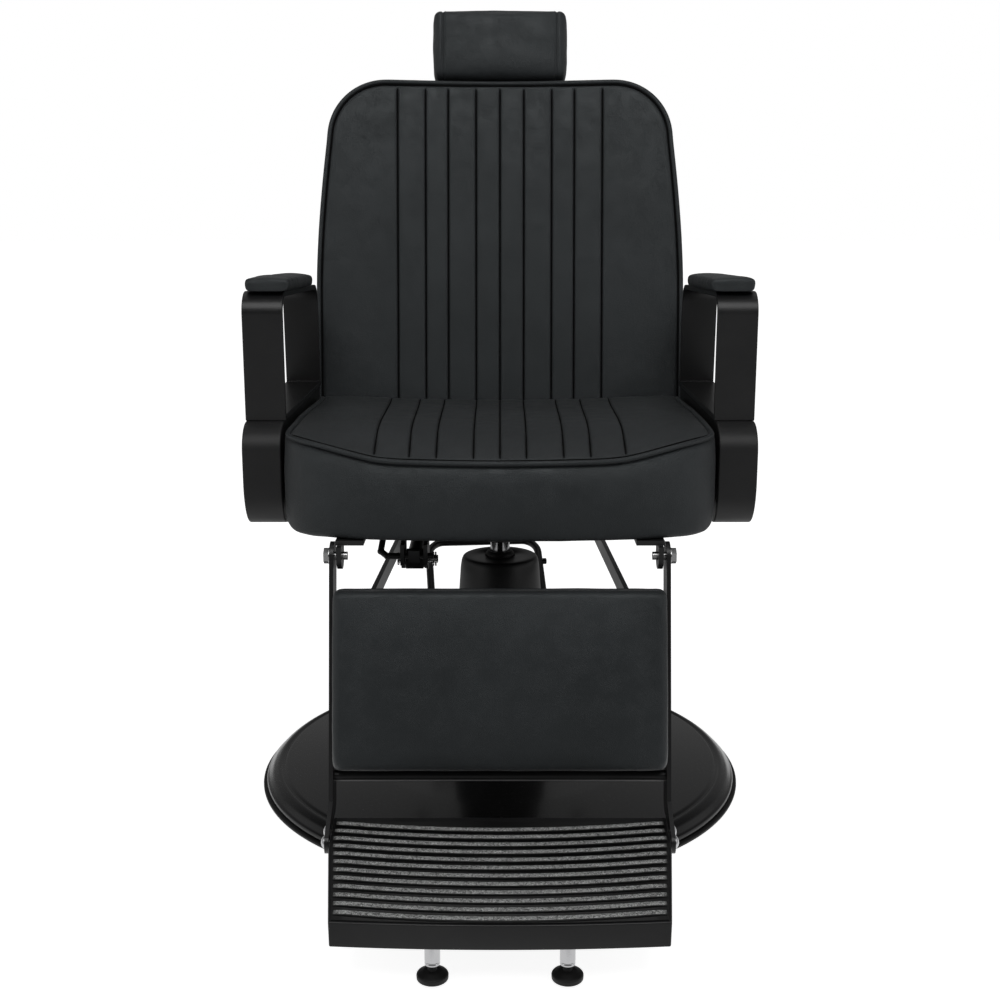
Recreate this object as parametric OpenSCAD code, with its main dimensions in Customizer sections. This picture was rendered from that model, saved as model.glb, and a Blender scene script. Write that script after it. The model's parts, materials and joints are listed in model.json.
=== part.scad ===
// Hydraulic barber chair with a reclining back, a coupled leg rest and a foot-pumped base.
// Origin: floor level on the axis of the pump. +Z is up, the sitter faces -Y.

/* [Base] */
// Diameter over the rubber edge ring of the base
base_d = 700; // [660:5:720]
// Height of the rubber edge ring
edge_ring_h = 5; // [4:0.5:8]
// Height of the rim of the base above the edge ring
base_rim_h = 22; // [16:1:26]
// Rise of the base from its rim to the pump flange
base_rise = 16; // [10:1:22]
// Thickness of the pressed base shell
base_wall = 4; // [3:0.5:5]
// Thickness of the cast iron weight under the base
weight_t = 10; // [6:1:14]

/* [Pump] */
// Height of the top of the pump cover above the floor
cover_top_z = 332; // [312:1:335]
// Diameter of the pump cover at its top
cover_top_d = 105; // [98:1:112]
// Diameter of the pump cover at its foot
cover_foot_d = 150; // [136:1:156]
// Diameter of the chrome piston rod
rod_d = 28; // [24:0.5:32]
// Stroke of the pump
lift_stroke = 150; // [100:5:170]
// Spacing of the two arms of the foot lever
lever_w = 181; // [174:1:190]
// Reach of the foot lever behind the pump
lever_reach = 290; // [270:5:292]
// Height of the cross bar of the foot lever
lever_z = 279; // [240:1:281]
// Diameter of the foot lever's bar
lever_rod_d = 12; // [10:0.5:13]
// Angle by which the foot lever points to one side
lever_yaw = 5.7; // [0:0.1:8]

/* [Seat] */
// Width of the seat cushion
seat_w = 538; // [520:1:542]
// Front of the seat cushion, in front of the pump axis
seat_front = 335; // [330:1:345]
// Back edge of the seat cushion, behind the pump axis
seat_back = 152; // [140:1:155]
// Height of the underside of the seat board
seat_bottom_z = 434; // [432:1:440]
// Thickness of the seat board
seat_board_t = 9; // [6:1:12]
// Height of the front piping in the middle
seat_pipe_z = 533; // [522:1:536]
// Highest level of the seat
seat_top_z = 555; // [545:1:562]
// Depth of the sewn channels
channel_depth = 3; // [1:0.5:5]

/* [Arms] */
// Gap between the seat cushion and an arm
arm_gap = 4; // [2:0.5:10]
// Width of the arm strap
strap_w = 49; // [40:1:50]
// Thickness of the arm strap
strap_t = 7; // [5:0.5:9]
// Height of the front of the arm strap
arm_top_z = 722; // [700:1:740]
// Height of the top of the side panel
panel_top_z = 561; // [550:1:570]
// Front of the arm strap, in front of the pump axis
arm_front = 208; // [200:1:215]
// Back of the arm strap at its foot, behind the pump axis
arm_back = 136; // [128:1:138]
// Length of the arm pad
pad_l = 222; // [190:1:235]
// Thickness of the arm pad
pad_t = 17; // [14:1:24]

/* [Backrest] */
// Width of the backrest at its widest
back_w = 558; // [540:1:560]
// Height of the backrest above its hinge
back_h = 566; // [530:1:580]
// Angle of the backrest from upright
back_lean = 9; // [7:0.5:10]
// Thickness of the backrest cushion in the middle
back_t = 60; // [50:1:66]
// Depth by which the sides of the backrest wrap forward
back_wrap = 22; // [10:1:24]
// Radius of the top corners of the backrest
back_corner_r = 90; // [70:1:110]

/* [Headrest] */
// Width of the headrest
head_w = 202; // [180:1:220]
// Height of the headrest
head_h = 101; // [90:1:120]
// Thickness of the headrest
head_t = 58; // [48:1:62]

/* [Leg rest] */
// Height of the leg rest hinge
leg_hinge_z = 414; // [412:1:416]
// Distance of the leg rest hinge in front of the pump axis
leg_hinge_y = 319; // [316:1:322]
// Length of the leg bars down to their bend
leg_bar_l = 295; // [288:1:300]
// Angle of the leg bars from upright
leg_lean = 12.7; // [11:0.1:13.5]
// Width over the two leg bars
leg_w = 409; // [408:1:412]
// Thickness of a leg bar
leg_bar_t = 5; // [4:0.5:6]
// Height of the calf pad along the bars
calf_h = 213; // [190:1:218]
// Distance of the calf pad below the leg rest hinge
calf_drop = 40; // [38:1:56]
// Thickness of the calf pad
calf_t = 32; // [26:1:36]

/* [Foot plate] */
// Width of the foot plate at the back
foot_back_w = 396; // [386:1:398]
// Width of the foot plate at the front
foot_front_w = 363; // [340:1:380]
// Depth of the foot plate
foot_depth = 212; // [200:1:220]
// Height of the front lip of the foot plate
foot_lip = 31; // [22:1:31]
// Angle by which the foot plate falls to the front
foot_tilt = 6; // [4:0.5:7]
// Number of ribs
rib_n = 12; // [8:1:13]
// Distance from rib to rib
rib_pitch = 15.6; // [12:0.2:15.8]
// Spacing of the two levelling feet
foot_spacing = 147; // [120:1:170]
// Diameter of a levelling foot
foot_d = 34; // [30:1:40]

/* [Hidden] */

$fn = 64;
black_paint = [0.10, 0.10, 0.11];
leather = [0.17, 0.18, 0.19];
chrome = [0.80, 0.80, 0.82];
dark_steel = [0.22, 0.22, 0.23];
rubber = [0.07, 0.07, 0.07];
dull_iron = [0.25, 0.25, 0.26];
plywood = [0.45, 0.36, 0.26];

run_fit = 0.05;   // radial clearance of a running fit
seat_gap = 0.3;   // clearance between a soft piece and its seat
loose_fit = 0.4;  // radial clearance of the open pivots of the linkage
eps = 0.01;
bar_step = 0.05;  // step from a bar's sides to its round ends
ball_ratio = 1.1; // a rod's corner ball against the rod

// Base
base_r = base_d / 2;
plate_r = base_r - 5;
groove_r = base_r - 29;
rim_z = edge_ring_h + base_rim_h;
base_top_z = rim_z + base_rise;
crown_r = groove_r - 4;
crown_rise = 0.62 * base_rise;
weight_r = groove_r - 22;
weight_bore_r = 30;
pad_r = weight_bore_r + 10;
flange_r = cover_foot_d / 2 + 6;
flange_t = 10;
crown_mid_r = (groove_r + flange_r) / 2;
weight_z = rim_z + crown_rise * (crown_r - weight_r) / (crown_r - crown_mid_r) - base_wall - weight_t - 0.1;
cover_z = base_top_z + flange_t;
cover_wall = 3;
pump_r = 42;
pump_top_z = cover_top_z - cover_wall - 4;
pump_bolt_pcd = 120;
rod_r = rod_d / 2;
bore_r = rod_r + run_fit;
bore_z = base_top_z + 26;
rod_guide = 100;
seal_r = rod_r + 6.5;
seal_top_z = cover_top_z + 7;
lever_axis_y = rod_r + 16;
lever_axis_z = base_top_z + 46;
lever_shaft_r = 7;
lever_boss_in = (lever_w - lever_rod_d) / 2 - 1;

// Seat structure, stacked downwards from the seat board
rail_t = 6;
rail_in = 164;
rail_out = 198;
rail_z = seat_bottom_z - rail_t;
tube_h = 20;
tube_w = 25;
tube_wall = 2;
tube_z = rail_z - tube_h;
plate_t = 6;
plate_z = tube_z - plate_t;
hub_h = 40;
hub_z = plate_z - hub_h;
hub_r = 38;
ring_h = 6;
rod_top_z = plate_z - 8;
tube_y = [-110, 90];
plate_half = 85;
front_cross_w = 30;

// Hinges
hinge_y = 190;
hinge_z = seat_bottom_z + 16;
shaft_r = 12.5;
hinge_plate_r = 19;
crank_l = 122;
crank_in = 154;
crank_t = 6;
gas_x = -107;
gas_z = plate_z - 10;
gas_y = -250;
gas_crank_l = 64;
gas_crank_a = 25;
gas_pin_r = 5;
gas_r = 11;
gas_fork_gap = 16;
gas_fork_t = 5;

// Leg rest
leg_out = leg_w / 2;
leg_in = leg_out - leg_bar_t;
leg_bar_w = 35;
pivot_r = 5;
lug_in = 190;
lug_t = 6;
link_pin = [-leg_hinge_y + 4, leg_hinge_z - crank_l];
crank_pin = [hinge_y + 4, hinge_z - crank_l];
link_front_x = 187.5;
link_back_x = 148;
link_t = 6.5;
leg_dir = [-sin(leg_lean), -cos(leg_lean)];
leg_foot = [-leg_hinge_y, leg_hinge_z] + leg_bar_l * leg_dir;
foot_rear = [leg_foot[0] - 15, leg_foot[1] - 15];

// Arms
arm_in = seat_w / 2 + arm_gap;
arm_out = arm_in + strap_w;
panel_bottom_z = rail_z;
arm_bracket_t = 6;

// Seams, counted from the middle of the cushion
seams = [0, 34, 79, 113, 156];

// ---------- helpers ----------

// Flat bar from a to b in the plane, with round ends that stand a hair proud of its sides
module bar2(a, b, w) {
    d = b - a;
    translate(a) rotate(atan2(d[1], d[0])) translate([0, bar_step - w / 2])
        square([norm(d), w - 2 * bar_step]);
    for (p = [a, b]) translate(p) circle(d = w);
}

// Turns a shape drawn in (y, z) into a plate that is t thick along X from x
module side_plate(x, t) {
    translate([x, 0, 0]) rotate([90, 0, 90]) linear_extrude(t) children();
}

// Cylinder along X from x0 to x1 at [y, z]
module pin_x(x0, x1, p, r) {
    translate([x0, p[0], p[1]]) rotate([0, 90, 0]) cylinder(r = r, h = x1 - x0);
}

// Round rod through a list of points, with ball corners
module rod_path(pts, r) {
    for (i = [0 : len(pts) - 2]) {
        d = pts[i + 1] - pts[i];
        translate(pts[i]) rotate([0, acos(d[2] / norm(d)), atan2(d[1], d[0])]) cylinder(r = r, h = norm(d));
    }
    for (i = [1 : len(pts) - 2]) translate(pts[i]) sphere(r = r * ball_ratio);
}

// Copies the child to the other side of the chair
module both() {
    children();
    mirror([1, 0, 0]) children();
}

// Closed skin through loops of points, all loops with the same number of points
module skin(loops) {
    n = len(loops[0]);
    m = len(loops);
    points = [for (l = loops) for (p = l) p];
    sides = [for (i = [0 : m - 2]) for (j = [0 : n - 1]) let (a = i * n + j, b = i * n + (j + 1) % n)
        each [[a, b, a + n], [b, b + n, a + n]]];
    first = [for (j = [1 : n - 2]) [0, j + 1, j]];
    last = [for (j = [1 : n - 2]) [(m - 1) * n, (m - 1) * n + j, (m - 1) * n + j + 1]];
    polyhedron(points, concat(sides, first, last));
}

// The backrest's own frame: origin on the hinge, z up along the back
module back_place() {
    translate([0, hinge_y, hinge_z]) rotate([-back_lean, 0, 0]) children();
}

// The foot plate's own frame: origin at the middle of its rear edge, x to the side, y to the back
module foot_place() {
    translate([0, foot_rear[0], foot_rear[1]]) rotate([foot_tilt, 0, 0]) children();
}

// The foot lever's own frame
module lever_place() {
    rotate([0, 0, lever_yaw]) children();
}

// Hexagon head with its axis along +Z
module hex_head(af, h) {
    cylinder(d = af / cos(30), h = h, $fn = 6);
}

// ---------- base and pump ----------

module edge_ring() {
    color(rubber) rotate_extrude($fn = 128) translate([base_r - 24, 0]) square([24, edge_ring_h]);
}

// Rubber foot in the bore of the weight, straight under the pump
module centre_pad() {
    color(rubber) {
        cylinder(r = pad_r, h = weight_z);
        translate([0, 0, weight_z - eps]) cylinder(r = weight_bore_r - run_fit, h = weight_t - 1);
    }
}

module base_outline(inset) {
    r = plate_r - inset;
    polygon([[flange_r + 12, edge_ring_h], [r, edge_ring_h], [r, edge_ring_h + 6],
        [r - 4, edge_ring_h + 9], [r - 10, rim_z - 6 - inset], [r - 17, rim_z - 1 - inset],
        [groove_r + 3, rim_z - 1 - inset], [groove_r, rim_z - 4 - inset], [crown_r, rim_z - inset],
        [crown_mid_r, rim_z + crown_rise - inset], [flange_r + 12, base_top_z - inset]]);
}

module base_plate() {
    color(black_paint) {
        rotate_extrude($fn = 128) difference() {
            base_outline(0);
            translate([0, -eps]) base_outline(base_wall);
        }
        difference() {
            translate([0, 0, base_top_z - base_wall]) cylinder(r = flange_r + 12 + eps, h = base_wall);
            pump_bolt_holes(base_top_z - base_wall - 1, base_wall + 2);
        }
    }
}

module base_weight() {
    color(dull_iron) difference() {
        translate([0, 0, weight_z]) cylinder(r = weight_r, h = weight_t, $fn = 128);
        translate([0, 0, weight_z - 1]) cylinder(r = weight_bore_r, h = weight_t + 2);
        pump_bolt_holes(weight_z - 1, weight_t + 2);
    }
}

module pump_bolt_places() {
    for (a = [45 : 90 : 315]) rotate(a) translate([pump_bolt_pcd / 2, 0, 0]) children();
}

module pump_bolt_holes(z, h) {
    pump_bolt_places() translate([0, 0, z]) cylinder(d = 10.2, h = h);
}

module pump_body() {
    color(dull_iron) difference() {
        union() {
            translate([0, 0, base_top_z]) cylinder(r = cover_foot_d / 2 - 2, h = flange_t);
            translate([0, 0, base_top_z + flange_t - eps])
                cylinder(r = pump_r, h = pump_top_z - base_top_z - flange_t + eps);
        }
        translate([0, 0, bore_z]) cylinder(r = bore_r, h = pump_top_z - bore_z + 1);
        pump_bolt_holes(base_top_z - 1, flange_t + 2);
        lever_place() pin_x(-pump_r - 10, pump_r + 10, [lever_axis_y, lever_axis_z], lever_shaft_r + run_fit);
    }
}

module pump_bolts() {
    color(dark_steel) pump_bolt_places() {
        translate([0, 0, weight_z - 8]) cylinder(d = 10, h = base_top_z + flange_t + 8 - weight_z);
        translate([0, 0, base_top_z + flange_t]) hex_head(16, 7);
        translate([0, 0, weight_z - 8]) hex_head(16, 8);
    }
}

module pump_cover() {
    foot_r = cover_foot_d / 2;
    top_r = cover_top_d / 2;
    color(black_paint) difference() {
        rotate_extrude() polygon([[foot_r, cover_z], [top_r + 3, cover_top_z - 8],
            [top_r + 1.5, cover_top_z - 3],
            [top_r - 2, cover_top_z], [seal_r + 1, cover_top_z], [seal_r + 1, cover_top_z - cover_wall],
            [top_r - 1, cover_top_z - cover_wall], [foot_r - cover_wall, cover_z]]);
        lever_place() pin_x(-base_r, base_r, [lever_axis_y, lever_axis_z], lever_shaft_r + 2);
    }
}

module rod_seal() {
    color(rubber) translate([0, 0, pump_top_z]) rotate_extrude()
        polygon([[bore_r, 0], [seal_r, 0], [seal_r, seal_top_z - pump_top_z - 3],
            [seal_r - 3, seal_top_z - pump_top_z], [bore_r, seal_top_z - pump_top_z]]);
}

module lever_shaft() {
    color(dark_steel) lever_place()
        pin_x(-lever_boss_in, lever_boss_in, [lever_axis_y, lever_axis_z], lever_shaft_r);
}

lever_corner = 26;

// Place of the stub on each arm of the lever
function lever_stub_at() = [lever_axis_y, lever_axis_z] + 0.86 * [lever_reach - lever_axis_y,
    lever_z - lever_axis_z];

module pump_lever() {
    x = lever_w / 2;
    reach = [0, lever_reach - lever_axis_y, lever_z - lever_axis_z];
    along = reach / norm(reach);
    root = [0, lever_axis_y, lever_axis_z];
    side = [x, 0, 0];
    elbow = root + reach - lever_corner * along;
    bend = [for (a = [0 : 45 : 90]) elbow + [x - lever_corner + lever_corner * cos(a),
        0, 0] + lever_corner * sin(a) * along];
    right = concat([root + side + 8 * along], bend);
    n = len(right);
    color(black_paint) lever_place() {
        both() pin_x(lever_boss_in, x + lever_rod_d / 2 + 1, [lever_axis_y, lever_axis_z], 12);
        both() pin_x(x, x + lever_rod_d, lever_stub_at(), lever_rod_d / 2 - 1);
        rod_path(concat(right, [for (i = [n - 1 : -1 : 0]) [-right[i][0], right[i][1],
            right[i][2]]]), lever_rod_d / 2);
    }
}

module piston_rod() {
    low = max(bore_z + 3, pump_top_z - lift_stroke - rod_guide);
    color(chrome) {
        translate([0, 0, low]) cylinder(r = rod_r, h = rod_top_z - low - 2);
        translate([0, 0, rod_top_z - 2 - eps]) cylinder(r1 = rod_r, r2 = rod_r - 2, h = 2 + eps);
    }
}

module thrust_ring() {
    color(dark_steel) translate([0, 0, hub_z - ring_h - seat_gap]) difference() {
        cylinder(r = rod_r + 10, h = ring_h);
        translate([0, 0, -1]) cylinder(r = rod_r, h = ring_h + 2);
    }
}

// ---------- seat frame ----------

module swivel_hub() {
    color(black_paint) translate([0, 0, hub_z]) difference() {
        union() {
            cylinder(r = hub_r - 8, h = hub_h);
            translate([0, 0, hub_h - 10]) cylinder(r1 = hub_r - 8, r2 = hub_r + 6, h = 10);
        }
        translate([0, 0, -1]) cylinder(r = bore_r, h = rod_top_z - hub_z + 3);
    }
}

module mount_bolt_places() {
    for (x = [-1, 1], y = tube_y) translate([x * (plate_half - 18), y + tube_w / 2, 0]) children();
}

module mount_plate() {
    y0 = tube_y[0] - 6;
    color(black_paint) difference() {
        translate([-plate_half, y0, plate_z]) cube([2 * plate_half, tube_y[1] + tube_w + 6 - y0, plate_t]);
        mount_bolt_places() translate([0, 0, plate_z - 1]) cylinder(d = 10.2, h = plate_t + 2);
    }
}

module mount_bolts() {
    color(dark_steel) mount_bolt_places() {
        translate([0, 0, plate_z]) cylinder(d = 10, h = plate_t + tube_h - 0.2);
        translate([0, 0, plate_z - 6.5]) hex_head(16, 6.5);
    }
}

module cross_tubes() {
    color(black_paint) difference() {
        for (y = tube_y) translate([-rail_out, y, tube_z]) difference() {
            cube([2 * rail_out, tube_w, tube_h]);
            translate([-1, tube_wall, tube_wall]) cube([2 * rail_out + 2, tube_w - 2 * tube_wall,
                tube_h - 2 * tube_wall]);
        }
        mount_bolt_places() translate([0, 0, plate_z - 1]) cylinder(d = 10.2, h = plate_t + tube_h + 2);
    }
}

module front_cross() {
    color(black_paint) translate([-rail_out, gas_y - 8, rail_z - rail_t])
        cube([2 * rail_out, front_cross_w, rail_t]);
}

bracket_l = 136;
bracket_nose = 6;

module seat_rails() {
    y0 = -leg_hinge_y - bracket_nose + bracket_l;
    color(black_paint) both() translate([rail_in, y0, rail_z])
        cube([rail_out - rail_in, hinge_y + 25 - y0, rail_t]);
}

module leg_brackets() {
    color(black_paint) both() {
        translate([rail_in, -leg_hinge_y - bracket_nose, rail_z])
            cube([rail_out - rail_in, bracket_l, rail_t]);
        difference() {
            side_plate(lug_in, lug_t) {
                translate([-leg_hinge_y, leg_hinge_z]) circle(r = 16);
                translate([-leg_hinge_y - 16, leg_hinge_z]) square([32, rail_z - leg_hinge_z + eps]);
            }
            pin_x(lug_in - 1, leg_out, [-leg_hinge_y, leg_hinge_z], pivot_r + run_fit);
        }
    }
}

pivot_end = 6;

module leg_pivot_bolts() {
    p = [-leg_hinge_y, leg_hinge_z];
    color(chrome) both() {
        pin_x(lug_in - pivot_end, leg_out + 0.4, p, pivot_r);
        pin_x(leg_out + 0.3, leg_out + 2, p, 10);
        translate([leg_out + 2 - eps, p[0], p[1]]) rotate([0, 90, 0]) hex_head(17, 6);
    }
}

module back_hinge_plates() {
    color(black_paint) both() difference() {
        side_plate(rail_in, rail_t) {
            translate([hinge_y, hinge_z]) circle(r = hinge_plate_r);
            translate([hinge_y - hinge_plate_r, rail_z + rail_t])
                square([2 * hinge_plate_r, hinge_z - rail_z - rail_t]);
        }
        pin_x(0, base_r, [hinge_y, hinge_z], shaft_r + run_fit);
        translate([0, hinge_y - 40, rail_z - 40 + rail_t]) cube([base_r, 80, 40]);
    }
}

gas_in = gas_fork_gap / 2;
clevis_in = gas_r + 1;

module gas_clevis() {
    color(black_paint) difference() {
        for (x = [gas_x - clevis_in - gas_fork_t, gas_x + clevis_in]) translate([x, 0, 0])
            side_plate(0, gas_fork_t) {
            translate([gas_y - 26, gas_z - 2]) square([50, rail_z - rail_t - gas_z + 2 - 6]);
            translate([gas_y, gas_z]) circle(r = 12);
            translate([gas_y - 8, rail_z - rail_t - 8]) square([front_cross_w, 8]);
        }
        pin_x(gas_x - 40, gas_x + 40, [gas_y, gas_z], gas_pin_r);
        pin_x(gas_x - 40, gas_x + 40, [release_y, release_z], release_r + run_fit);
    }
}

module gas_pin() {
    x0 = gas_x - clevis_in - gas_fork_t - 3;
    x1 = gas_x + clevis_in + gas_fork_t + 12;
    color(chrome) difference() {
        union() {
            pin_x(x0, x1, [gas_y, gas_z], gas_pin_r);
            pin_x(x0 - 2, x0, [gas_y, gas_z], gas_pin_r + 3);
            pin_x(x1 - 7, x1 - 5, [gas_y, gas_z], gas_pin_r + 4);
        }
        translate([x1 - 3, gas_y, gas_z - 10]) cylinder(d = 2.4, h = 20);
    }
    color(chrome) translate([x1 - 3, gas_y, gas_z - 9]) cylinder(d = 2.2, h = 18);
}

gas_eye_y = hinge_y + gas_crank_l * sin(gas_crank_a);
gas_eye_z = hinge_z - gas_crank_l * cos(gas_crank_a);
gas_drop = gas_crank_l * (1 - cos(gas_crank_a));
gas_cyl_l = 225;
gas_rod_r = 5;
gas_rod_out = 75;
gas_rod_l = gas_cyl_l + gas_rod_out;

module gas_cylinder() {
    color(dark_steel) difference() {
        union() {
            translate([gas_x - gas_r, gas_y - 11, gas_z - 10]) cube([2 * gas_r, 24, 20]);
            translate([gas_x, gas_y - 12.5, gas_z]) rotate([-90, 0, 0]) cylinder(r = 2.5, h = 4);
            translate([gas_x, gas_y + 12, gas_z]) rotate([-90, 0, 0]) cylinder(r = gas_r, h = gas_cyl_l);
        }
        translate([gas_x, gas_y + 40, gas_z]) rotate([-90, 0, 0])
            cylinder(r = gas_rod_r + run_fit, h = gas_cyl_l);
        pin_x(gas_x - 40, gas_x + 40, [gas_y, gas_z], gas_pin_r);
    }
}

module gas_rod() {
    eye_y0 = gas_eye_y - 15;
    color(chrome) translate([gas_x, gas_eye_y - gas_rod_l, gas_z]) rotate([-90, 0, 0])
        cylinder(r = gas_rod_r, h = gas_rod_l - 14);
    color(chrome) difference() {
        translate([gas_x - 6, eye_y0, gas_eye_z - gas_drop - 13]) cube([12, 30, 26 + gas_drop]);
        for (z = [gas_eye_z, gas_eye_z - gas_drop]) pin_x(gas_x - 10, gas_x + 10, [gas_eye_y, z],
            gas_pin_r + 0.8);
        translate([gas_x - 10, gas_eye_y - gas_pin_r - 0.8, gas_eye_z - gas_drop])
            cube([20, 2 * gas_pin_r + 1.6, gas_drop]);
    }
}

release_r = 4;
release_y = gas_y - 17;
release_z = gas_z + 8;
release_x = 149;
release_out = 208;
grip_out = 324;
grip_y = 60;
grip_z = seat_bottom_z - 56;
grip_r = 11;

module release_rod() {
    cross_y = release_y + 52;
    cross_z = rail_z - release_r - 8;
    color(black_paint) rod_path([
        [gas_x + clevis_in + 12, release_y, release_z],
        [8 - release_x, release_y, release_z],
        [-release_x, release_y + 4, release_z + 5],
        [-release_x, cross_y, cross_z],
        [-release_out, cross_y, cross_z],
        [-release_out, grip_y, grip_z],
        [-grip_out, grip_y, grip_z]], release_r);
}

cam_w = 14;
cam_low = 7;
cam_high = 8;

module release_cam() {
    color(dark_steel) difference() {
        translate([gas_x - cam_w / 2, release_y - 7, release_z - cam_low])
            cube([cam_w, 10, cam_low + cam_high]);
        pin_x(gas_x - 10, gas_x + 10, [release_y, release_z], release_r);
    }
}

module release_grip() {
    color(rubber) difference() {
        translate([-grip_out - 4, grip_y, grip_z]) rotate([0, 90, 0]) cylinder(r = grip_r, h = 78);
        translate([-grip_out, grip_y, grip_z]) rotate([0, 90, 0]) cylinder(r = release_r, h = 90);
    }
}

// ---------- seat ----------

function corner_arc(u, w, r) = u <= w - r ? 0 : r - sqrt(max(0, r * r - pow(u - (w - r), 2)));
function smooth(t) = let (c = min(1, max(0, t))) c * c * (3 - 2 * c);

seat_half = seat_w / 2;
seat_z0 = seat_bottom_z + seat_board_t + seat_gap;
seat_bow = 60;
seat_low_bow = 42;
seat_low_corner = 56;
seat_flat = 125;
seat_horn = 20;
seat_corner = 44;
seat_side_r = 20;
seat_lip = seat_board_t;

function seat_front_y(u) = -seat_front + seat_bow * pow(u / seat_half, 2)
    + corner_arc(u, seat_half, seat_corner);
function seat_under_y(u) = -seat_front + seat_low_bow * pow(u / seat_half, 3)
    + corner_arc(u, seat_half, seat_low_corner);
function seat_back_y(u) = seat_back - back_wrap * pow(u / seat_half, 2) - corner_arc(u, seat_half, 16);
function seat_low(u) = seat_z0 + corner_arc(u, seat_half, seat_side_r);
function seat_pipe(u) = seat_pipe_z + seat_horn * smooth((u - seat_flat) / (seat_half - seat_flat - 9));
function seat_rear(u) = seat_top_z - 16 + 10 * pow(u / seat_half, 2);
function seat_edge(u) = corner_arc(u, seat_half, 13);
function seat_top(u, t) = t < 0.25 ? seat_pipe(u) + (seat_top_z - seat_pipe(u)) * sin(90 * t / 0.25)
    : seat_top_z + (seat_rear(u) - seat_top_z) * smooth((t - 0.25) / 0.75);
function seam_cut(u, t) = len([for (s = seams) if (abs(u - s) < 0.5) 1])
    > 0 ? channel_depth * smooth(t / 0.08) : 0;

seat_steps = [1, 0.92, 0.78, 0.6, 0.42, 0.28, 0.18, 0.1, 0.04, 0];

function seat_loop(x) = let (u = abs(x), f = seat_front_y(u), g = seat_under_y(u), b = seat_back_y(u),
        lo = seat_low(u), lip = lo - seat_lip, cut = seat_edge(u), p = seat_pipe(u) - cut)
    concat([[x, b - 12, lo], [x, b, lo + 14], [x, b, seat_top(u, 1) - 14 - cut]],
        [for (t = seat_steps) [x, f + 6 + (b - 8 - f - 6) * t, seat_top(u, t) - cut - seam_cut(u, t)]],
        [[x, f, p - 6], [x, (2 * f + g) / 3 - 5, p - 22], [x, (f + 2 * g) / 3 - 6, lo + 36],
            [x, g - 3, lo + 8],
        [x, g + 1, lip + 3], [x, g + 6, lip], [x, g + 16, lip], [x, g + 17, lo]]);

// Station positions: each seam, the middle of each channel, and the rounded side
function stations(half, edge) = let (mids = [for (i = [0 : len(seams) - 2]) (seams[i] + seams[i + 1]) / 2],
        inner = [for (i = [0 : len(seams) - 1]) each (i < len(seams) - 1 ? [seams[i], mids[i]] : [seams[i]])],
        outer = [seams[4] + 24, (seams[4] + half - edge)
            / 2 + 12, half - edge, half - edge * 0.6, half - edge * 0.28, half - edge * 0.07, half])
    concat(inner, outer);

module seat_cushion() {
    side = stations(seat_half, 30);
    xs = concat([for (i = [len(side) - 1 : -1 : 1]) -side[i]], side);
    color(leather) skin([for (x = xs) seat_loop(x)]);
}

module seat_board() {
    inset = 26;
    x = seat_half - inset;
    color(plywood) translate([0, 0, seat_bottom_z]) linear_extrude(seat_board_t)
        polygon([for (i = [-12 : 12]) [x * i / 12, seat_front_y(abs(x * i / 12)) + inset],
            [x, seat_back - back_wrap - inset], [x - 20, seat_back - inset],
                [-x + 20, seat_back - inset], [-x, seat_back - back_wrap - inset]]);
}

// ---------- arms ----------

arm_bracket_y = [-80, 50];
arm_bracket_w = 36;

module arm_brackets() {
    color(black_paint) both() for (y = arm_bracket_y)
        translate([rail_in, y, rail_z - arm_bracket_t])
            cube([arm_in + strap_w * 0.75 - rail_in, arm_bracket_w, arm_bracket_t]);
}

panel_nose = 35;
panel_h = panel_top_z - panel_bottom_z;

module panel_side() {
    y0 = -arm_front - panel_nose;
    r1 = 36;
    r2 = 60;
    difference() {
        translate([y0, panel_bottom_z]) square([arm_back - y0, panel_h]);
        translate([y0, panel_top_z - r1]) difference() {
            translate([-1, 0]) square([r1 + 1, r1 + 1]);
            translate([r1, 0]) circle(r = r1, $fn = 96);
        }
        translate([y0, panel_bottom_z]) difference() {
            translate([-1, -1]) square([r2 * 0.75 + 1, r2 + 1]);
            translate([r2 * 0.75, r2]) scale([0.75, 1]) circle(r = r2, $fn = 96);
        }
    }
}

module side_panel() {
    color(black_paint) side_plate(arm_in, strap_w) panel_side();
}

module side_panel_left() { mirror([1, 0, 0]) side_panel(); }
module side_panel_right() { side_panel(); }

arm_corner = 28;
arm_fall = 8;

module strap_outline(inset) {
    y0 = -arm_front + inset;
    y1 = arm_back - 8 - inset;
    z1 = arm_top_z - inset;
    r = arm_corner - inset;
    polygon(concat([[y0, panel_top_z]],
        [for (a = [0 : 10 : 90]) [y0 + r - r * cos(a), z1 - r + r * sin(a)]],
        [for (a = [90 : -10 : 0]) [y1 - r + r * cos(a), z1 - arm_fall - r + r * sin(a)]],
        [[arm_back - inset, panel_top_z]]));
}

strap_over = 2;

module arm_frame() {
    color(black_paint) side_plate(arm_in - strap_over, strap_w + strap_over) difference() {
        strap_outline(0);
        intersection() {
            strap_outline(strap_t);
            translate([-base_r, panel_top_z + strap_t]) square([2 * base_r, base_r]);
        }
    }
}

module arm_frame_left() { mirror([1, 0, 0]) arm_frame(); }
module arm_frame_right() { arm_frame(); }

pad_w = 56;
pad_x = arm_out - strap_w / 2 - 7;
pad_over = 22;
pad_slope = atan2(arm_fall, arm_back - 8 + arm_front - 2 * arm_corner);

// One section of the arm pad: rounded top, flat underside
function pad_loop(y, half, t) = [[pad_x + half - 4, y, 0], [pad_x + half, y, 4], [pad_x + half, y, t * 0.62],
    [pad_x + half * 0.86, y, t * 0.9], [pad_x + half * 0.4, y, t], [pad_x - half * 0.4, y, t],
    [pad_x - half * 0.86, y, t * 0.9], [pad_x - half, y, t * 0.62], [pad_x - half, y, 4],
        [pad_x - half + 4, y, 0]];

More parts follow.
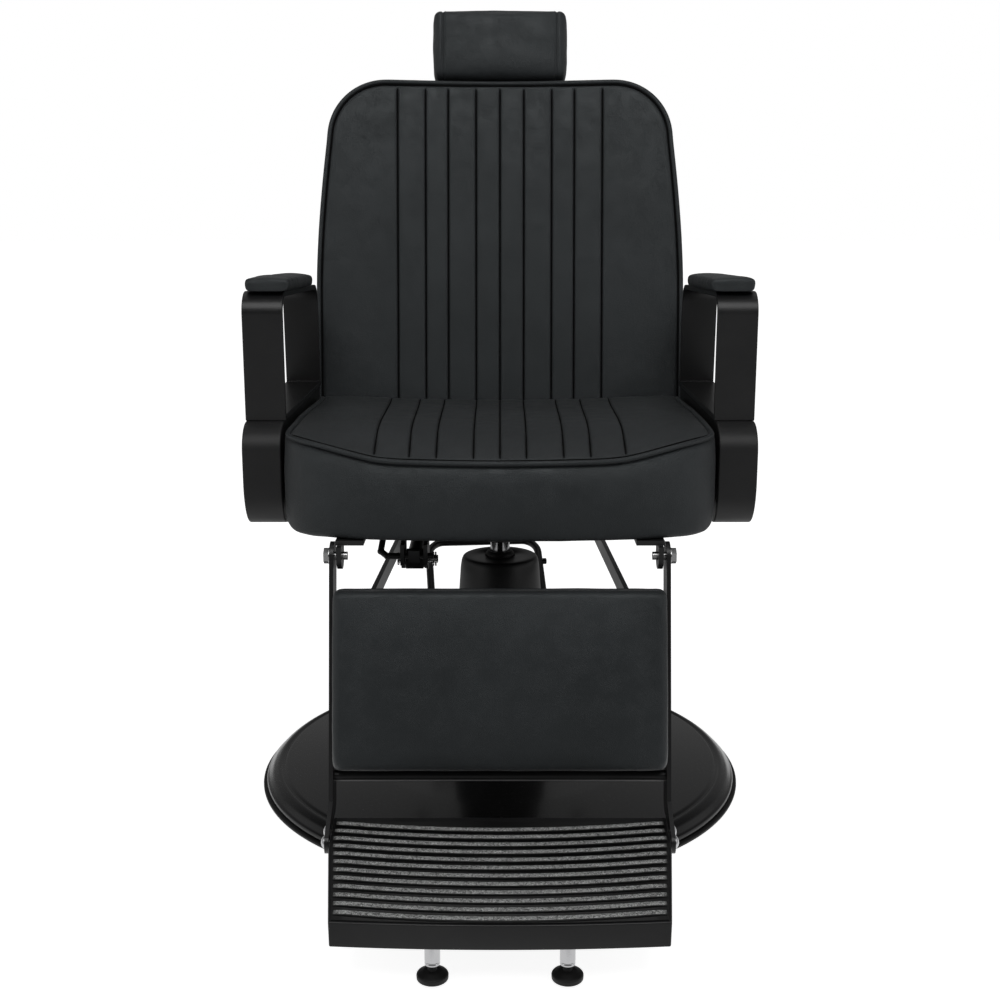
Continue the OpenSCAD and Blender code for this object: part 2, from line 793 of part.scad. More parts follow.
module arm_pad() {
    half = pad_w / 2;
    ends = [[0, half - 6, 0.62], [2, half - 2, 0.8], [8, half, 0.94], [22, half, 1]];
    loops = concat([for (e = ends) pad_loop(e[0], e[1], pad_t * e[2])],
        [for (k = [1 : 5]) pad_loop(22 + (pad_l - 44) * k / 6, half, pad_t * (1 + 0.03 * (k % 2)))],
        [for (i = [3 : -1 : 0]) pad_loop(pad_l - ends[i][0], ends[i][1], pad_t * ends[i][2])]);
    color(leather) translate([0, -arm_front + arm_corner - pad_over,
        arm_top_z + pad_over * tan(pad_slope) + seat_gap]) rotate([-pad_slope, 0, 0]) skin(loops);
}

module arm_pad_left() { mirror([1, 0, 0]) arm_pad(); }
module arm_pad_right() { arm_pad(); }

// ---------- backrest ----------

back_half = back_w / 2;
back_front = -back_t + 32;
back_rear = 31.7;
back_foot = 20;
back_board_t = 12;
back_wide_z = 255;

function back_side(z) = let (top = back_h - back_corner_r, k = 17 * pow(max(0, min(z, top) - back_wide_z)
    / (top - back_wide_z), 1.6))
    back_half - k - (z > top ? back_corner_r - sqrt(max(0, back_corner_r * back_corner_r - pow(z - top,
        2))) : 0)
    - corner_arc(back_foot + 24 - min(z, back_foot + 24), 24, 24) * 0.8;
function back_seam(x, z) = len([for (s = seams) if (abs(abs(x) - s) < 0.5) 1]) > 0
    ? channel_depth * smooth((back_h - 12 - z) / 14) * smooth((z - back_foot) / 30) : 0;
function back_pull(z) = let (e = 20) (z > back_h - e ? e - sqrt(max(0, e * e - pow(z - back_h + e, 2))) : 0)
    + (z < back_foot + e ? e - sqrt(max(0, e * e - pow(back_foot + e - z, 2))) : 0);

// Front of the backrest from side to side, then round the rear
function back_loop(z) = let (w = back_side(z), r = 20, k = min(1, (w - r - 14)
    / seams[4]), pull = back_pull(z),
        mids = [for (i = [0 : 3]) (seams[i] + seams[i + 1]) / 2],
        inner = [for (i = [0 : 4]) each (i < 4 ? [seams[i], mids[i]] : [seams[i]])],
        pos = [for (x = inner) [x * k, back_seam(x, z)]],
        outer = [[w - r - 4, 0], [w - r * 0.5, -3], [w - r * 0.12, -10], [w, -r]],
        half_front = concat([for (p = pos) [p[0], back_front - back_wrap * pow(p[0] / back_half, 2) + p[1]]],
            [[(seams[4] * k + w - r) / 2, back_front - back_wrap * pow((seams[4] * k + w - r)
                / 2 / back_half, 2) - 2]],
            [for (o = outer) [o[0], back_front - back_wrap * pow(o[0] / back_half, 2) - o[1]]]),
        right = concat([for (p = half_front) [p[0], p[1] + pull]], [[w - 2, back_rear - 10],
            [w - 12, back_rear]]),
        n = len(right))
    concat([for (i = [n - 1 : -1 : 1]) [-right[i][0], right[i][1], z]], [for (p = right) [p[0], p[1], z]]);

module back_cushion() {
    corner_steps = [0.12, 0.3, 0.46, 0.6, 0.72, 0.82, 0.9, 0.96, 0.99];
    top = back_h - back_corner_r;
    zs = concat([for (k = [0, 0.15, 0.5, 1]) back_foot + 20 * k],
        [for (k = [1 : 9]) back_foot + 20 + (top - back_foot - 20) * k / 9],
        [for (k = corner_steps) top + back_corner_r * k], [back_h - 0.2]);
    color(leather) back_place() skin([for (z = zs) back_loop(z)]);
}

module back_board() {
    inset = 9;
    zs = [for (k = [0 : 6]) back_foot + 6 + (back_h - back_corner_r - back_foot - 6) * k / 6];
    arc = [for (k = [0.3, 0.55, 0.75, 0.9, 0.985]) back_h - back_corner_r + (back_corner_r - inset) * k];
    right = [for (z = concat(zs, arc)) [back_side(z) - inset - (z > back_h - back_corner_r ? 2 : 0), z]];
    n = len(right);
    color(plywood) back_place() translate([0, back_rear + seat_gap + back_board_t, 0]) rotate([90, 0, 0])
        linear_extrude(back_board_t)
        polygon(concat(right, [for (i = [n - 1 : -1 : 0]) [-right[i][0], right[i][1]]]));
}

upright_x = 105;
upright_w = 36;
upright_t = 6;
upright_y = back_rear + seat_gap + back_board_t + upright_t / 2;
upright_top = 330;
back_screw_z = [90, 200, 310];

module back_frame() {
    color(black_paint) {
        pin_x(-rail_in - rail_t - 6, rail_in + rail_t + 6, [hinge_y, hinge_z], shaft_r);
        both() side_plate(crank_in, crank_t) bar2([hinge_y, hinge_z], crank_pin, 28);
        both() pin_x(link_back_x - 8, crank_in + eps, crank_pin, pivot_r);
        both() pin_x(link_back_x + link_t / 2 + 1.6, crank_in + eps, crank_pin, pivot_r + 3);
        for (x = [gas_x - gas_in - gas_fork_t, gas_x + gas_in]) side_plate(x, gas_fork_t)
            bar2([hinge_y, hinge_z], [gas_eye_y, gas_eye_z], 24);
        pin_x(gas_x - gas_in - eps, gas_x + gas_in + eps, [gas_eye_y, gas_eye_z], gas_pin_r);
        difference() {
            back_place() both() side_plate(upright_x - upright_w / 2, upright_w) {
                bar2([0, 0], [upright_y, 8], upright_t);
                bar2([upright_y, 8], [upright_y, upright_top], upright_t);
            }
            back_place() back_screw_places() rotate([90, 0, 0]) translate([0, 0, -10])
                cylinder(d = 6.2, h = 20);
        }
    }
}

module back_screw_places() {
    for (x = [-1, 1], z = back_screw_z) translate([x * upright_x, upright_y, z]) children();
}

module back_screws() {
    color(chrome) back_place() back_screw_places() {
        rotate([90, 0, 0]) translate([0, 0, -upright_t / 2]) cylinder(d = 6, h = upright_t - 0.1);
        translate([0, upright_t / 2, 0]) rotate([-90, 0, 0]) cylinder(d1 = 13, d2 = 8, h = 3.5);
    }
}

bar_w = 32;
bar_t = 8;
socket_wall = 4;
socket_h = 120;
socket_z = back_h - socket_h - 46;
bar_y = back_rear + seat_gap + back_board_t + socket_wall + 0.3;

module headrest_socket() {
    w = bar_w + 2 * socket_wall + 0.6;
    t = bar_t + 2 * socket_wall + 0.6;
    color(black_paint) back_place() difference() {
        union() {
            translate([-w / 2, bar_y - socket_wall - 0.3, socket_z]) cube([w, t, socket_h]);
            translate([-w / 2 - 22, bar_y - socket_wall - 0.3, socket_z + 8])
                cube([w + 44, socket_wall, socket_h - 16]);
        }
        translate([-bar_w / 2 - 0.3, bar_y - 0.3, socket_z - 1])
            cube([bar_w + 0.6, bar_t + 0.6, socket_h + 2]);
        for (x = [-1, 1], z = [24, socket_h - 24]) translate([x * (w / 2 + 11), 0, socket_z + z])
            rotate([-90, 0, 0]) cylinder(d = 6.2, h = 100);
    }
}

head_z0 = back_h + 4;
head_front = back_front - 2;
head_board_t = 8;
head_rear = head_front + head_t;
bar_z0 = socket_z + 6;

module headrest_bar() {
    tongue_z = head_z0 + 14;
    color(chrome) back_place() {
        translate([-bar_w / 2, bar_y, bar_z0]) cube([bar_w, bar_t, tongue_z + bar_t - bar_z0]);
        translate([-bar_w / 2, head_rear + head_board_t, tongue_z])
            cube([bar_w, bar_y - head_rear - head_board_t + eps, bar_t]);
        translate([-bar_w, head_rear + head_board_t, tongue_z]) cube([2 * bar_w, 5, head_h - 38]);
    }
}

module headrest_board() {
    color(plywood) back_place() translate([-head_w / 2 + 10, head_rear, head_z0 + 10])
        cube([head_w - 20, head_board_t, head_h - 20]);
}

function head_loop(x) = let (u = abs(x), h = head_w / 2, s = corner_arc(u, h, 9),
    f = head_front + s - 3 * (1 - pow(u / h, 4)),
        b = head_rear - seat_gap - s * 0.6, lo = head_z0 + s * 0.8, hi = head_z0 + head_h - s * 0.8)
    [[x, b - 8, lo], [x, b, lo + 9], [x, b, hi - 9], [x, b - 8, hi], [x, f + 16, hi], [x, f + 6, hi - 3],
        [x, f + 1, hi - 11],
        [x, f - 1, hi - 34], [x, f, (hi + lo) / 2], [x, f + 1, lo + 24], [x, f + 5, lo + 8],
            [x, f + 14, lo + 1]];

module headrest_cushion() {
    h = head_w / 2;
    side = [0, h * 0.4, h * 0.76, h - 12, h - 9, h - 5.5, h - 2.5, h - 0.7, h];
    xs = concat([for (i = [len(side) - 1 : -1 : 1]) -side[i]], side);
    color(leather) back_place() skin([for (x = xs) head_loop(x)]);
}

// ---------- leg rest ----------

foot_bar_reach = 41;
foot_bar_end = [foot_rear[0] - foot_bar_reach * cos(foot_tilt),
    foot_rear[1] - foot_bar_reach * sin(foot_tilt) - 8];

module leg_bar() {
    p = [-leg_hinge_y, leg_hinge_z];
    ear = p + leg_dir * crank_l;
    color(black_paint) difference() {
        side_plate(leg_in, leg_bar_t) {
            bar2(p, leg_foot, leg_bar_w);
            bar2(leg_foot, foot_bar_end, leg_bar_w * 0.72);
            bar2(ear, link_pin, 26);
        }
        pin_x(0, base_r, p, pivot_r + run_fit);
        pin_x(0, base_r, link_pin, pivot_r);
        foot_bolt_places() translate([0, 0, -30]) cylinder(d = 8.2, h = 60);
    }
}

module leg_bar_left() { mirror([1, 0, 0]) leg_bar(); }
module leg_bar_right() { leg_bar(); }

module link_pins() {
    color(dark_steel) both() {
        pin_x(link_front_x - 8, leg_out, link_pin, pivot_r);
        pin_x(link_front_x + link_t / 2 + 2, leg_in, link_pin, pivot_r + 4);
    }
}

module push_link() {
    a = [link_front_x, link_pin[0], link_pin[1]];
    b = [link_back_x, crank_pin[0], crank_pin[1]];
    d = b - a;
    turn = atan2(d[0], d[1]);
    rise = atan2(d[2], norm([d[0], d[1]]));
    color(black_paint) difference() {
        translate(a) rotate([0, 0, -turn]) rotate([rise, 0, 0]) translate([-link_t / 2, 0, 0])
            rotate([90, 0, 90])
            linear_extrude(link_t) bar2([0, 0], [norm(d), 0], 22);
        pin_x(0, base_r, link_pin, pivot_r + run_fit);
        pin_x(0, base_r, crank_pin, pivot_r + loose_fit);
    }
}

module link_left() { mirror([1, 0, 0]) push_link(); }
module link_right() { push_link(); }

calf_half = leg_in - 1;
calf_board_t = 9;
calf_rear = -10;
brace_r = 7;

// The calf pad's own frame: origin at the leg hinge, z up along the bars, y to the back
module leg_place() {
    translate([0, -leg_hinge_y, leg_hinge_z]) rotate([-leg_lean, 0, 0]) children();
}

function calf_loop(x) = let (u = abs(x), s = corner_arc(u, calf_half, 10),
    f = calf_rear - calf_t + s - 5 * (1 - pow(u / calf_half, 4)),
        b = calf_rear - seat_gap, hi = -calf_drop - s * 0.7, lo = -calf_drop - calf_h + s * 0.7)
    [[x, b, lo + 4], [x, b, hi - 4], [x, b - 5, hi], [x, f + 12, hi], [x, f + 4, hi - 4],
        [x, f, hi - 16], [x, f - 2, hi - calf_h * 0.3],
        [x, f - 2, lo + calf_h * 0.3], [x, f, lo + 16], [x, f + 4, lo + 4], [x, f + 12, lo], [x, b - 5, lo]];

module calf_pad() {
    h = calf_half;
    side = [0, h * 0.35, h * 0.65, h * 0.85, h - 10, h - 6, h - 2.6, h - 0.7, h];
    xs = concat([for (i = [len(side) - 1 : -1 : 1]) -side[i]], side);
    color(leather) leg_place() skin([for (x = xs) calf_loop(x)]);
}

module calf_board() {
    color(plywood) leg_place() translate([-calf_half + 8, calf_rear, -calf_drop - calf_h + 10])
        cube([2 * calf_half - 16, calf_board_t, calf_h - 20]);
}

clip_z = [calf_drop + 60, calf_drop + 98];

module calf_clips() {
    color(black_paint) leg_place() both() for (z = clip_z) translate([0, calf_rear + calf_board_t, -z - 8]) {
        translate([leg_in - 30, 0, 0]) cube([30, 3, 16]);
        translate([leg_in - 3, 0, 0]) cube([3, 12, 16]);
    }
}

module leg_brace() {
    z = calf_drop + calf_h + 12;
    at = [-leg_hinge_y, leg_hinge_z] + leg_dir * z;
    color(black_paint) pin_x(-leg_in, leg_in, at, brace_r);
}

// ---------- foot plate ----------

plate_wall = 4;
foot_side_h = 22;
foot_bolt_y = [-12, -35];
foot_bolt_z = -12;
foot_bow_r = 1225;
foot_edge_r = 2700;
foot_ear = 66;

module foot_bolt_places() {
    for (y = foot_bolt_y) foot_place() translate([leg_out, y, foot_bolt_z]) rotate([0, 90, 0]) children();
}

module foot_outline(inset) {
    h = foot_back_w / 2 - inset;
    f = foot_front_w / 2 - inset;
    y0 = -foot_depth + inset + foot_edge_r;
    front = [for (i = [-8 : 8]) let (x = f * i / 8) [x, y0 - sqrt(foot_edge_r * foot_edge_r - x * x)]];
    polygon(concat([[h, -foot_ear], [h, -inset], [-h, -inset], [-h, -foot_ear]], front));
}

module foot_plate() {
    color(black_paint) difference() {
        foot_place() union() {
            difference() {
                translate([0, 0, -foot_lip]) linear_extrude(foot_lip) foot_outline(0);
                translate([0, 0, -foot_lip - 1]) linear_extrude(foot_lip + 1 - plate_wall)
                    foot_outline(plate_wall);
                translate([-leg_out, -foot_depth + 70, -foot_lip - 1])
                    cube([2 * leg_out, foot_depth, foot_lip - foot_side_h + 1]);
            }
            for (x = [-1, 1]) translate([x * foot_spacing / 2, -foot_depth + 38, -foot_lip])
                cylinder(r = 15, h = foot_lip - 1);
        }
        both() foot_bolt_places() translate([0, 0, -30]) cylinder(d = 8.2, h = 40);
        both() translate([foot_spacing / 2, foot_tube_y, 0]) cylinder(r = tube_r, h = foot_tube_top);
    }
}

rib_w = 8;
rib_h = 3;
rib_base = 1.5;

module foot_tread() {
    color(dark_steel) foot_place() {
        linear_extrude(rib_base) intersection() {
            foot_outline(3);
            translate([-base_r, -foot_depth]) square([2 * base_r, foot_depth - 12]);
        }
        translate([0, 0, rib_base - eps]) linear_extrude(rib_h) intersection() {
            foot_outline(4);
            for (i = [0 : rib_n - 1]) translate([0, -foot_depth + 11 + i * rib_pitch + foot_bow_r])
                difference() {
                circle(r = foot_bow_r + rib_w / 2 - 4, $fn = 360);
                circle(r = foot_bow_r - rib_w / 2 - 4, $fn = 360);
                translate([-2 * foot_bow_r, -foot_bow_r / 2]) square([4 * foot_bow_r, 3 * foot_bow_r]);
            }
        }
    }
}

module foot_plate_bolts() {
    color(chrome) both() foot_bolt_places() {
        translate([0, 0, -leg_bar_t - 8]) cylinder(d = 8, h = leg_bar_t + 8);
        intersection() {
            translate([0, 0, -4]) sphere(r = 10);
            translate([0, 0, 0]) cylinder(r = 8.2, h = 8);
        }
        translate([0, 0, -leg_bar_t - (leg_in - foot_back_w / 2) - plate_wall - 6]) hex_head(13, 6);
    }
}

tube_r = 8.6;
stem_r = 5;
foot_tube_y = foot_rear[0] - (foot_depth - 38) * cos(foot_tilt);
foot_tube_top = foot_rear[1] - (foot_depth - 38) * sin(foot_tilt) - 12;
foot_tube_z = 21;
foot_z = 4;
foot_pad_h = 13;

module foot_tubes() {
    color(chrome) both() translate([foot_spacing / 2, foot_tube_y, foot_tube_z]) difference() {
        union() {
            translate([0, 0, 4]) cylinder(r = tube_r, h = foot_tube_top - foot_tube_z - 4);
            cylinder(r1 = tube_r - 3, r2 = tube_r, h = 4 + eps);
        }
        translate([0, 0, -1]) cylinder(r = stem_r + run_fit, h = foot_tube_top - foot_tube_z - 6);
    }
}

module levelling_foot() {
    color(rubber) translate([foot_spacing / 2, foot_tube_y, foot_z]) {
        cylinder(r1 = foot_d / 2 - 2, r2 = foot_d / 2, h = 3);
        translate([0, 0, 3 - eps]) cylinder(r = foot_d / 2, h = foot_pad_h - 8);
        translate([0, 0, foot_pad_h - 5 - eps]) cylinder(r1 = foot_d / 2, r2 = foot_d / 2 - 6, h = 3);
        cylinder(r = stem_r, h = foot_tube_top - foot_z - 16);
    }
}

module foot_left() { mirror([1, 0, 0]) levelling_foot(); }
module foot_right() { levelling_foot(); }

edge_ring();
centre_pad();
base_plate();
base_weight();
pump_body();
pump_bolts();
pump_cover();
rod_seal();
lever_shaft();
pump_lever();
piston_rod();
thrust_ring();
swivel_hub();
mount_plate();
mount_bolts();
cross_tubes();
front_cross();
seat_rails();
leg_brackets();
leg_pivot_bolts();
back_hinge_plates();
gas_clevis();
gas_pin();
gas_cylinder();
gas_rod();
release_rod();
release_cam();
release_grip();
seat_board();
seat_cushion();
arm_brackets();
side_panel_left();
side_panel_right();
arm_frame_left();
arm_frame_right();
arm_pad_left();
arm_pad_right();
back_frame();
back_board();
back_cushion();
back_screws();
headrest_socket();
headrest_bar();
headrest_board();
headrest_cushion();
leg_bar_left();
leg_bar_right();
leg_brace();
calf_board();
calf_pad();
calf_clips();
link_pins();
link_left();
link_right();
foot_plate();
foot_tread();
foot_plate_bolts();
foot_tubes();
foot_left();
foot_right();
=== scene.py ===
"""Looks of the hydraulic barber chair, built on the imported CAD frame.

Shapes are written in millimetres in the frame's own axes: the sitter faces -Y and +Z is up.
"""

import json
import logging
import math
import random
from dataclasses import dataclass, field
from enum import Enum
from typing import Callable, Iterable, Optional, Sequence

import bmesh
import bpy
import numpy as np
from mathutils import Matrix, Vector, noise


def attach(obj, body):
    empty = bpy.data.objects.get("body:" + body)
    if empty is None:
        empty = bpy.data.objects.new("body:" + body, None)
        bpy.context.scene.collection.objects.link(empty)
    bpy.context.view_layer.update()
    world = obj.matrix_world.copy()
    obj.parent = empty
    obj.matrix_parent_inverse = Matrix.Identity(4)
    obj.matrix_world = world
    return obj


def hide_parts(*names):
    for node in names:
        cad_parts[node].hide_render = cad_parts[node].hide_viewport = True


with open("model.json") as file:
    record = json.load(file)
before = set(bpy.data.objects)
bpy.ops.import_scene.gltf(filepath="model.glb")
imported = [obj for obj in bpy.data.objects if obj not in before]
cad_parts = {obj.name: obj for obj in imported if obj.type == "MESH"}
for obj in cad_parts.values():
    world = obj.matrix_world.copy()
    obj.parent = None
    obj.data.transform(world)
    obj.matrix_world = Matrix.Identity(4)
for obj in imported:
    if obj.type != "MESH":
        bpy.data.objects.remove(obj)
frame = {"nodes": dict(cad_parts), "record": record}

log = logging.getLogger("barber_chair")
MM = 0.001
SEED = 7

Spot = tuple[float, float]
Point = tuple[float, float, float]
Ring = list[Point]


# ---------------------------------------------------------------- finishes


class Slot(str, Enum):
    """Material slots of the record."""

    LEATHER = "leather_black"
    SATIN = "black_satin"
    GLOSS = "black_gloss"
    CHROME = "chrome"
    ZINC = "zinc"
    STEEL = "dark_steel"
    RUBBER = "rubber"
    IRON = "cast_iron"
    BOARD = "board"
    COVER = "cover_plastic"
    TREAD = "tread"
    PANEL = "panel"


class Effect(Enum):
    """Which shared node group gives a finish its small structure."""

    GRAIN = "leather_grain"
    FILM = "paint_film"
    STROKES = "metal_strokes"
    SPECKLE = "tread_speckle"
    WEAVE = "backing_weave"


@dataclass(frozen=True)
class Finish:
    """Numbers of one surface finish.

    Attributes:
        color: base colour, linear.
        fleck: second colour that the effect mixes in.
        roughness: middle of the roughness range.
        size: size of the effect's structure in metres.
        depth: height of the bump in metres.
    """

    name: str
    effect: Effect
    color: tuple[float, float, float]
    fleck: tuple[float, float, float]
    roughness: float
    size: float
    depth: float
    metallic: float = 0.0
    specular: float = 0.5
    coat: float = 0.0
    sheen: float = 0.0
    tint: tuple[float, float, float] = (1.0, 1.0, 1.0)


FINISHES: dict[Slot, Finish] = {
    Slot.LEATHER: Finish("leather", Effect.GRAIN, (0.0205, 0.0230, 0.0248), (0.0270, 0.0300, 0.0325),
                         0.45, 0.0013, 0.00016, specular=0.44, sheen=0.04, tint=(0.93, 0.99, 1.0)),
    Slot.SATIN: Finish("satin_paint", Effect.FILM, (0.0105, 0.0105, 0.0110), (0.016, 0.016, 0.0165),
                       0.33, 0.0024, 0.00002, specular=0.50),
    Slot.GLOSS: Finish("gloss_paint", Effect.FILM, (0.0060, 0.0060, 0.0065), (0.009, 0.009, 0.0095),
                       0.24, 0.0040, 0.00002, specular=0.42, coat=0.25),
    Slot.CHROME: Finish("chrome_plate", Effect.STROKES, (0.62, 0.62, 0.63), (0.52, 0.52, 0.53),
                        0.10, 0.004, 0.000004, metallic=1.0),
    Slot.ZINC: Finish("zinc_plate", Effect.STROKES, (0.55, 0.55, 0.55), (0.38, 0.38, 0.38),
                      0.26, 0.002, 0.00001, metallic=1.0),
    Slot.STEEL: Finish("dark_steel", Effect.STROKES, (0.045, 0.045, 0.047), (0.08, 0.08, 0.08),
                       0.38, 0.003, 0.00001, metallic=0.8),
    Slot.RUBBER: Finish("rubber", Effect.FILM, (0.0075, 0.0075, 0.0075), (0.012, 0.012, 0.012),
                        0.55, 0.0012, 0.00004, specular=0.35),
    Slot.IRON: Finish("cast_iron", Effect.SPECKLE, (0.030, 0.030, 0.031), (0.055, 0.055, 0.055),
                      0.62, 0.0018, 0.00016, metallic=0.3),
    Slot.BOARD: Finish("backing_cloth", Effect.WEAVE, (0.012, 0.012, 0.012), (0.024, 0.024, 0.024),
                       0.85, 0.0016, 0.00018, specular=0.2),
    Slot.COVER: Finish("cover_plastic", Effect.FILM, (0.0085, 0.0085, 0.0090), (0.012, 0.012, 0.0125),
                       0.42, 0.0010, 0.00003, specular=0.45),
    # the tread's bright fleck is partly the grey grit of the rib tops and partly a painted highlight of the
    # lamps on them
    Slot.TREAD: Finish("tread", Effect.SPECKLE, (0.010, 0.010, 0.010), (0.60, 0.61, 0.60),
                       0.42, 0.0011, 0.00022, specular=0.6),
    Slot.PANEL: Finish("panel_paint", Effect.FILM, (0.0125, 0.0125, 0.0130), (0.016, 0.016, 0.0165),
                       0.46, 0.0020, 0.00002, specular=0.42),
}


SHEET_FINISH = Finish("tread_ground", Effect.FILM, (0.0045, 0.0046, 0.0047), (0.012, 0.012, 0.012),
                      0.5, 0.0010, 0.00006, specular=0.3)
# near-black finish of the tubes laid in the seam grooves and creases: painted shade
PAINTED_SEAM_SHADE = Finish("seam_shade", Effect.FILM, (0.0018, 0.0019, 0.0020), (0.0030, 0.0030, 0.0030),
                     0.75, 0.0012, 0.00003, specular=0.12)


class Graph:
    """Thin helper around a node tree."""

    def __init__(self, tree: bpy.types.NodeTree) -> None:
        self.tree = tree

    def add(self, kind: str, values: Optional[dict] = None, **props: object) -> bpy.types.Node:
        """Adds a node.

        Args:
            kind: the node's type name without its ShaderNode prefix.
            values: what goes into its inputs, by name or index; a socket is linked.
            props: node properties.

        Returns:
            The new node.
        """
        name = kind if kind.startswith("NodeGroup") else "ShaderNode" + kind
        node = self.tree.nodes.new(name)
        for key, value in props.items():
            setattr(node, key, value)
        for key, value in (values or {}).items():
            if isinstance(value, bpy.types.NodeSocket):
                self.tree.links.new(value, node.inputs[key])
            else:
                node.inputs[key].default_value = value
        return node

    def math(self, operation: str, *values: object) -> bpy.types.NodeSocket:
        """Adds a Math node and returns its output."""
        return self.add("Math", dict(enumerate(values)), operation=operation).outputs[0]

    def mix(self, factor: object, a: object, b: object) -> bpy.types.NodeSocket:
        """Mixes two colours and returns the mixed colour."""
        return self.add("Mix", {0: factor, 6: a, 7: b}, data_type="RGBA").outputs[2]

    def white(self, kind: str, strength: object) -> bpy.types.NodeSocket:
        """Adds a white Emission or Background node and returns its output."""
        return self.add(kind, {"Color": (1.0, 1.0, 1.0, 1.0), "Strength": strength}).outputs[0]

    def ramp(self, value: object, *limits: float, smooth: bool = False) -> bpy.types.NodeSocket:
        """Maps a value from one range to another, clamped.

        Args:
            value: what is mapped.
            limits: low and high end of the first range, then of the second.
            smooth: whether the way between the ends is eased.

        Returns:
            The mapped value.
        """
        kind = "SMOOTHSTEP" if smooth else "LINEAR"
        return self.add("MapRange", dict(enumerate((value, *limits))), interpolation_type=kind).outputs[0]

    def noise(self, place: object, scale: object, detail: float, rough: float = 0.5) -> bpy.types.NodeSocket:
        """Adds a noise texture.

        Args:
            place: where it is read.
            scale: its scale.
            detail: its detail.
            rough: its roughness.

        Returns:
            Its value.
        """
        values = {"Vector": place, "Scale": scale, "Detail": detail, "Roughness": rough}
        return self.add("TexNoise", values).outputs[0]


def new_graph(owner: bpy.types.ID) -> Graph:
    """Empties the node tree of a material or world for a new graph.

    Args:
        owner: the material or world.

    Returns:
        The graph on its empty tree.
    """
    owner.use_nodes = True
    owner.node_tree.nodes.clear()
    return Graph(owner.node_tree)


def new_object(name: str, data: bpy.types.ID) -> bpy.types.Object:
    """Makes an object and puts it in the scene.

    Args:
        name: the object's name.
        data: its mesh, light or camera.

    Returns:
        The object.
    """
    obj = bpy.data.objects.new(name, data)
    bpy.context.scene.collection.objects.link(obj)
    return obj


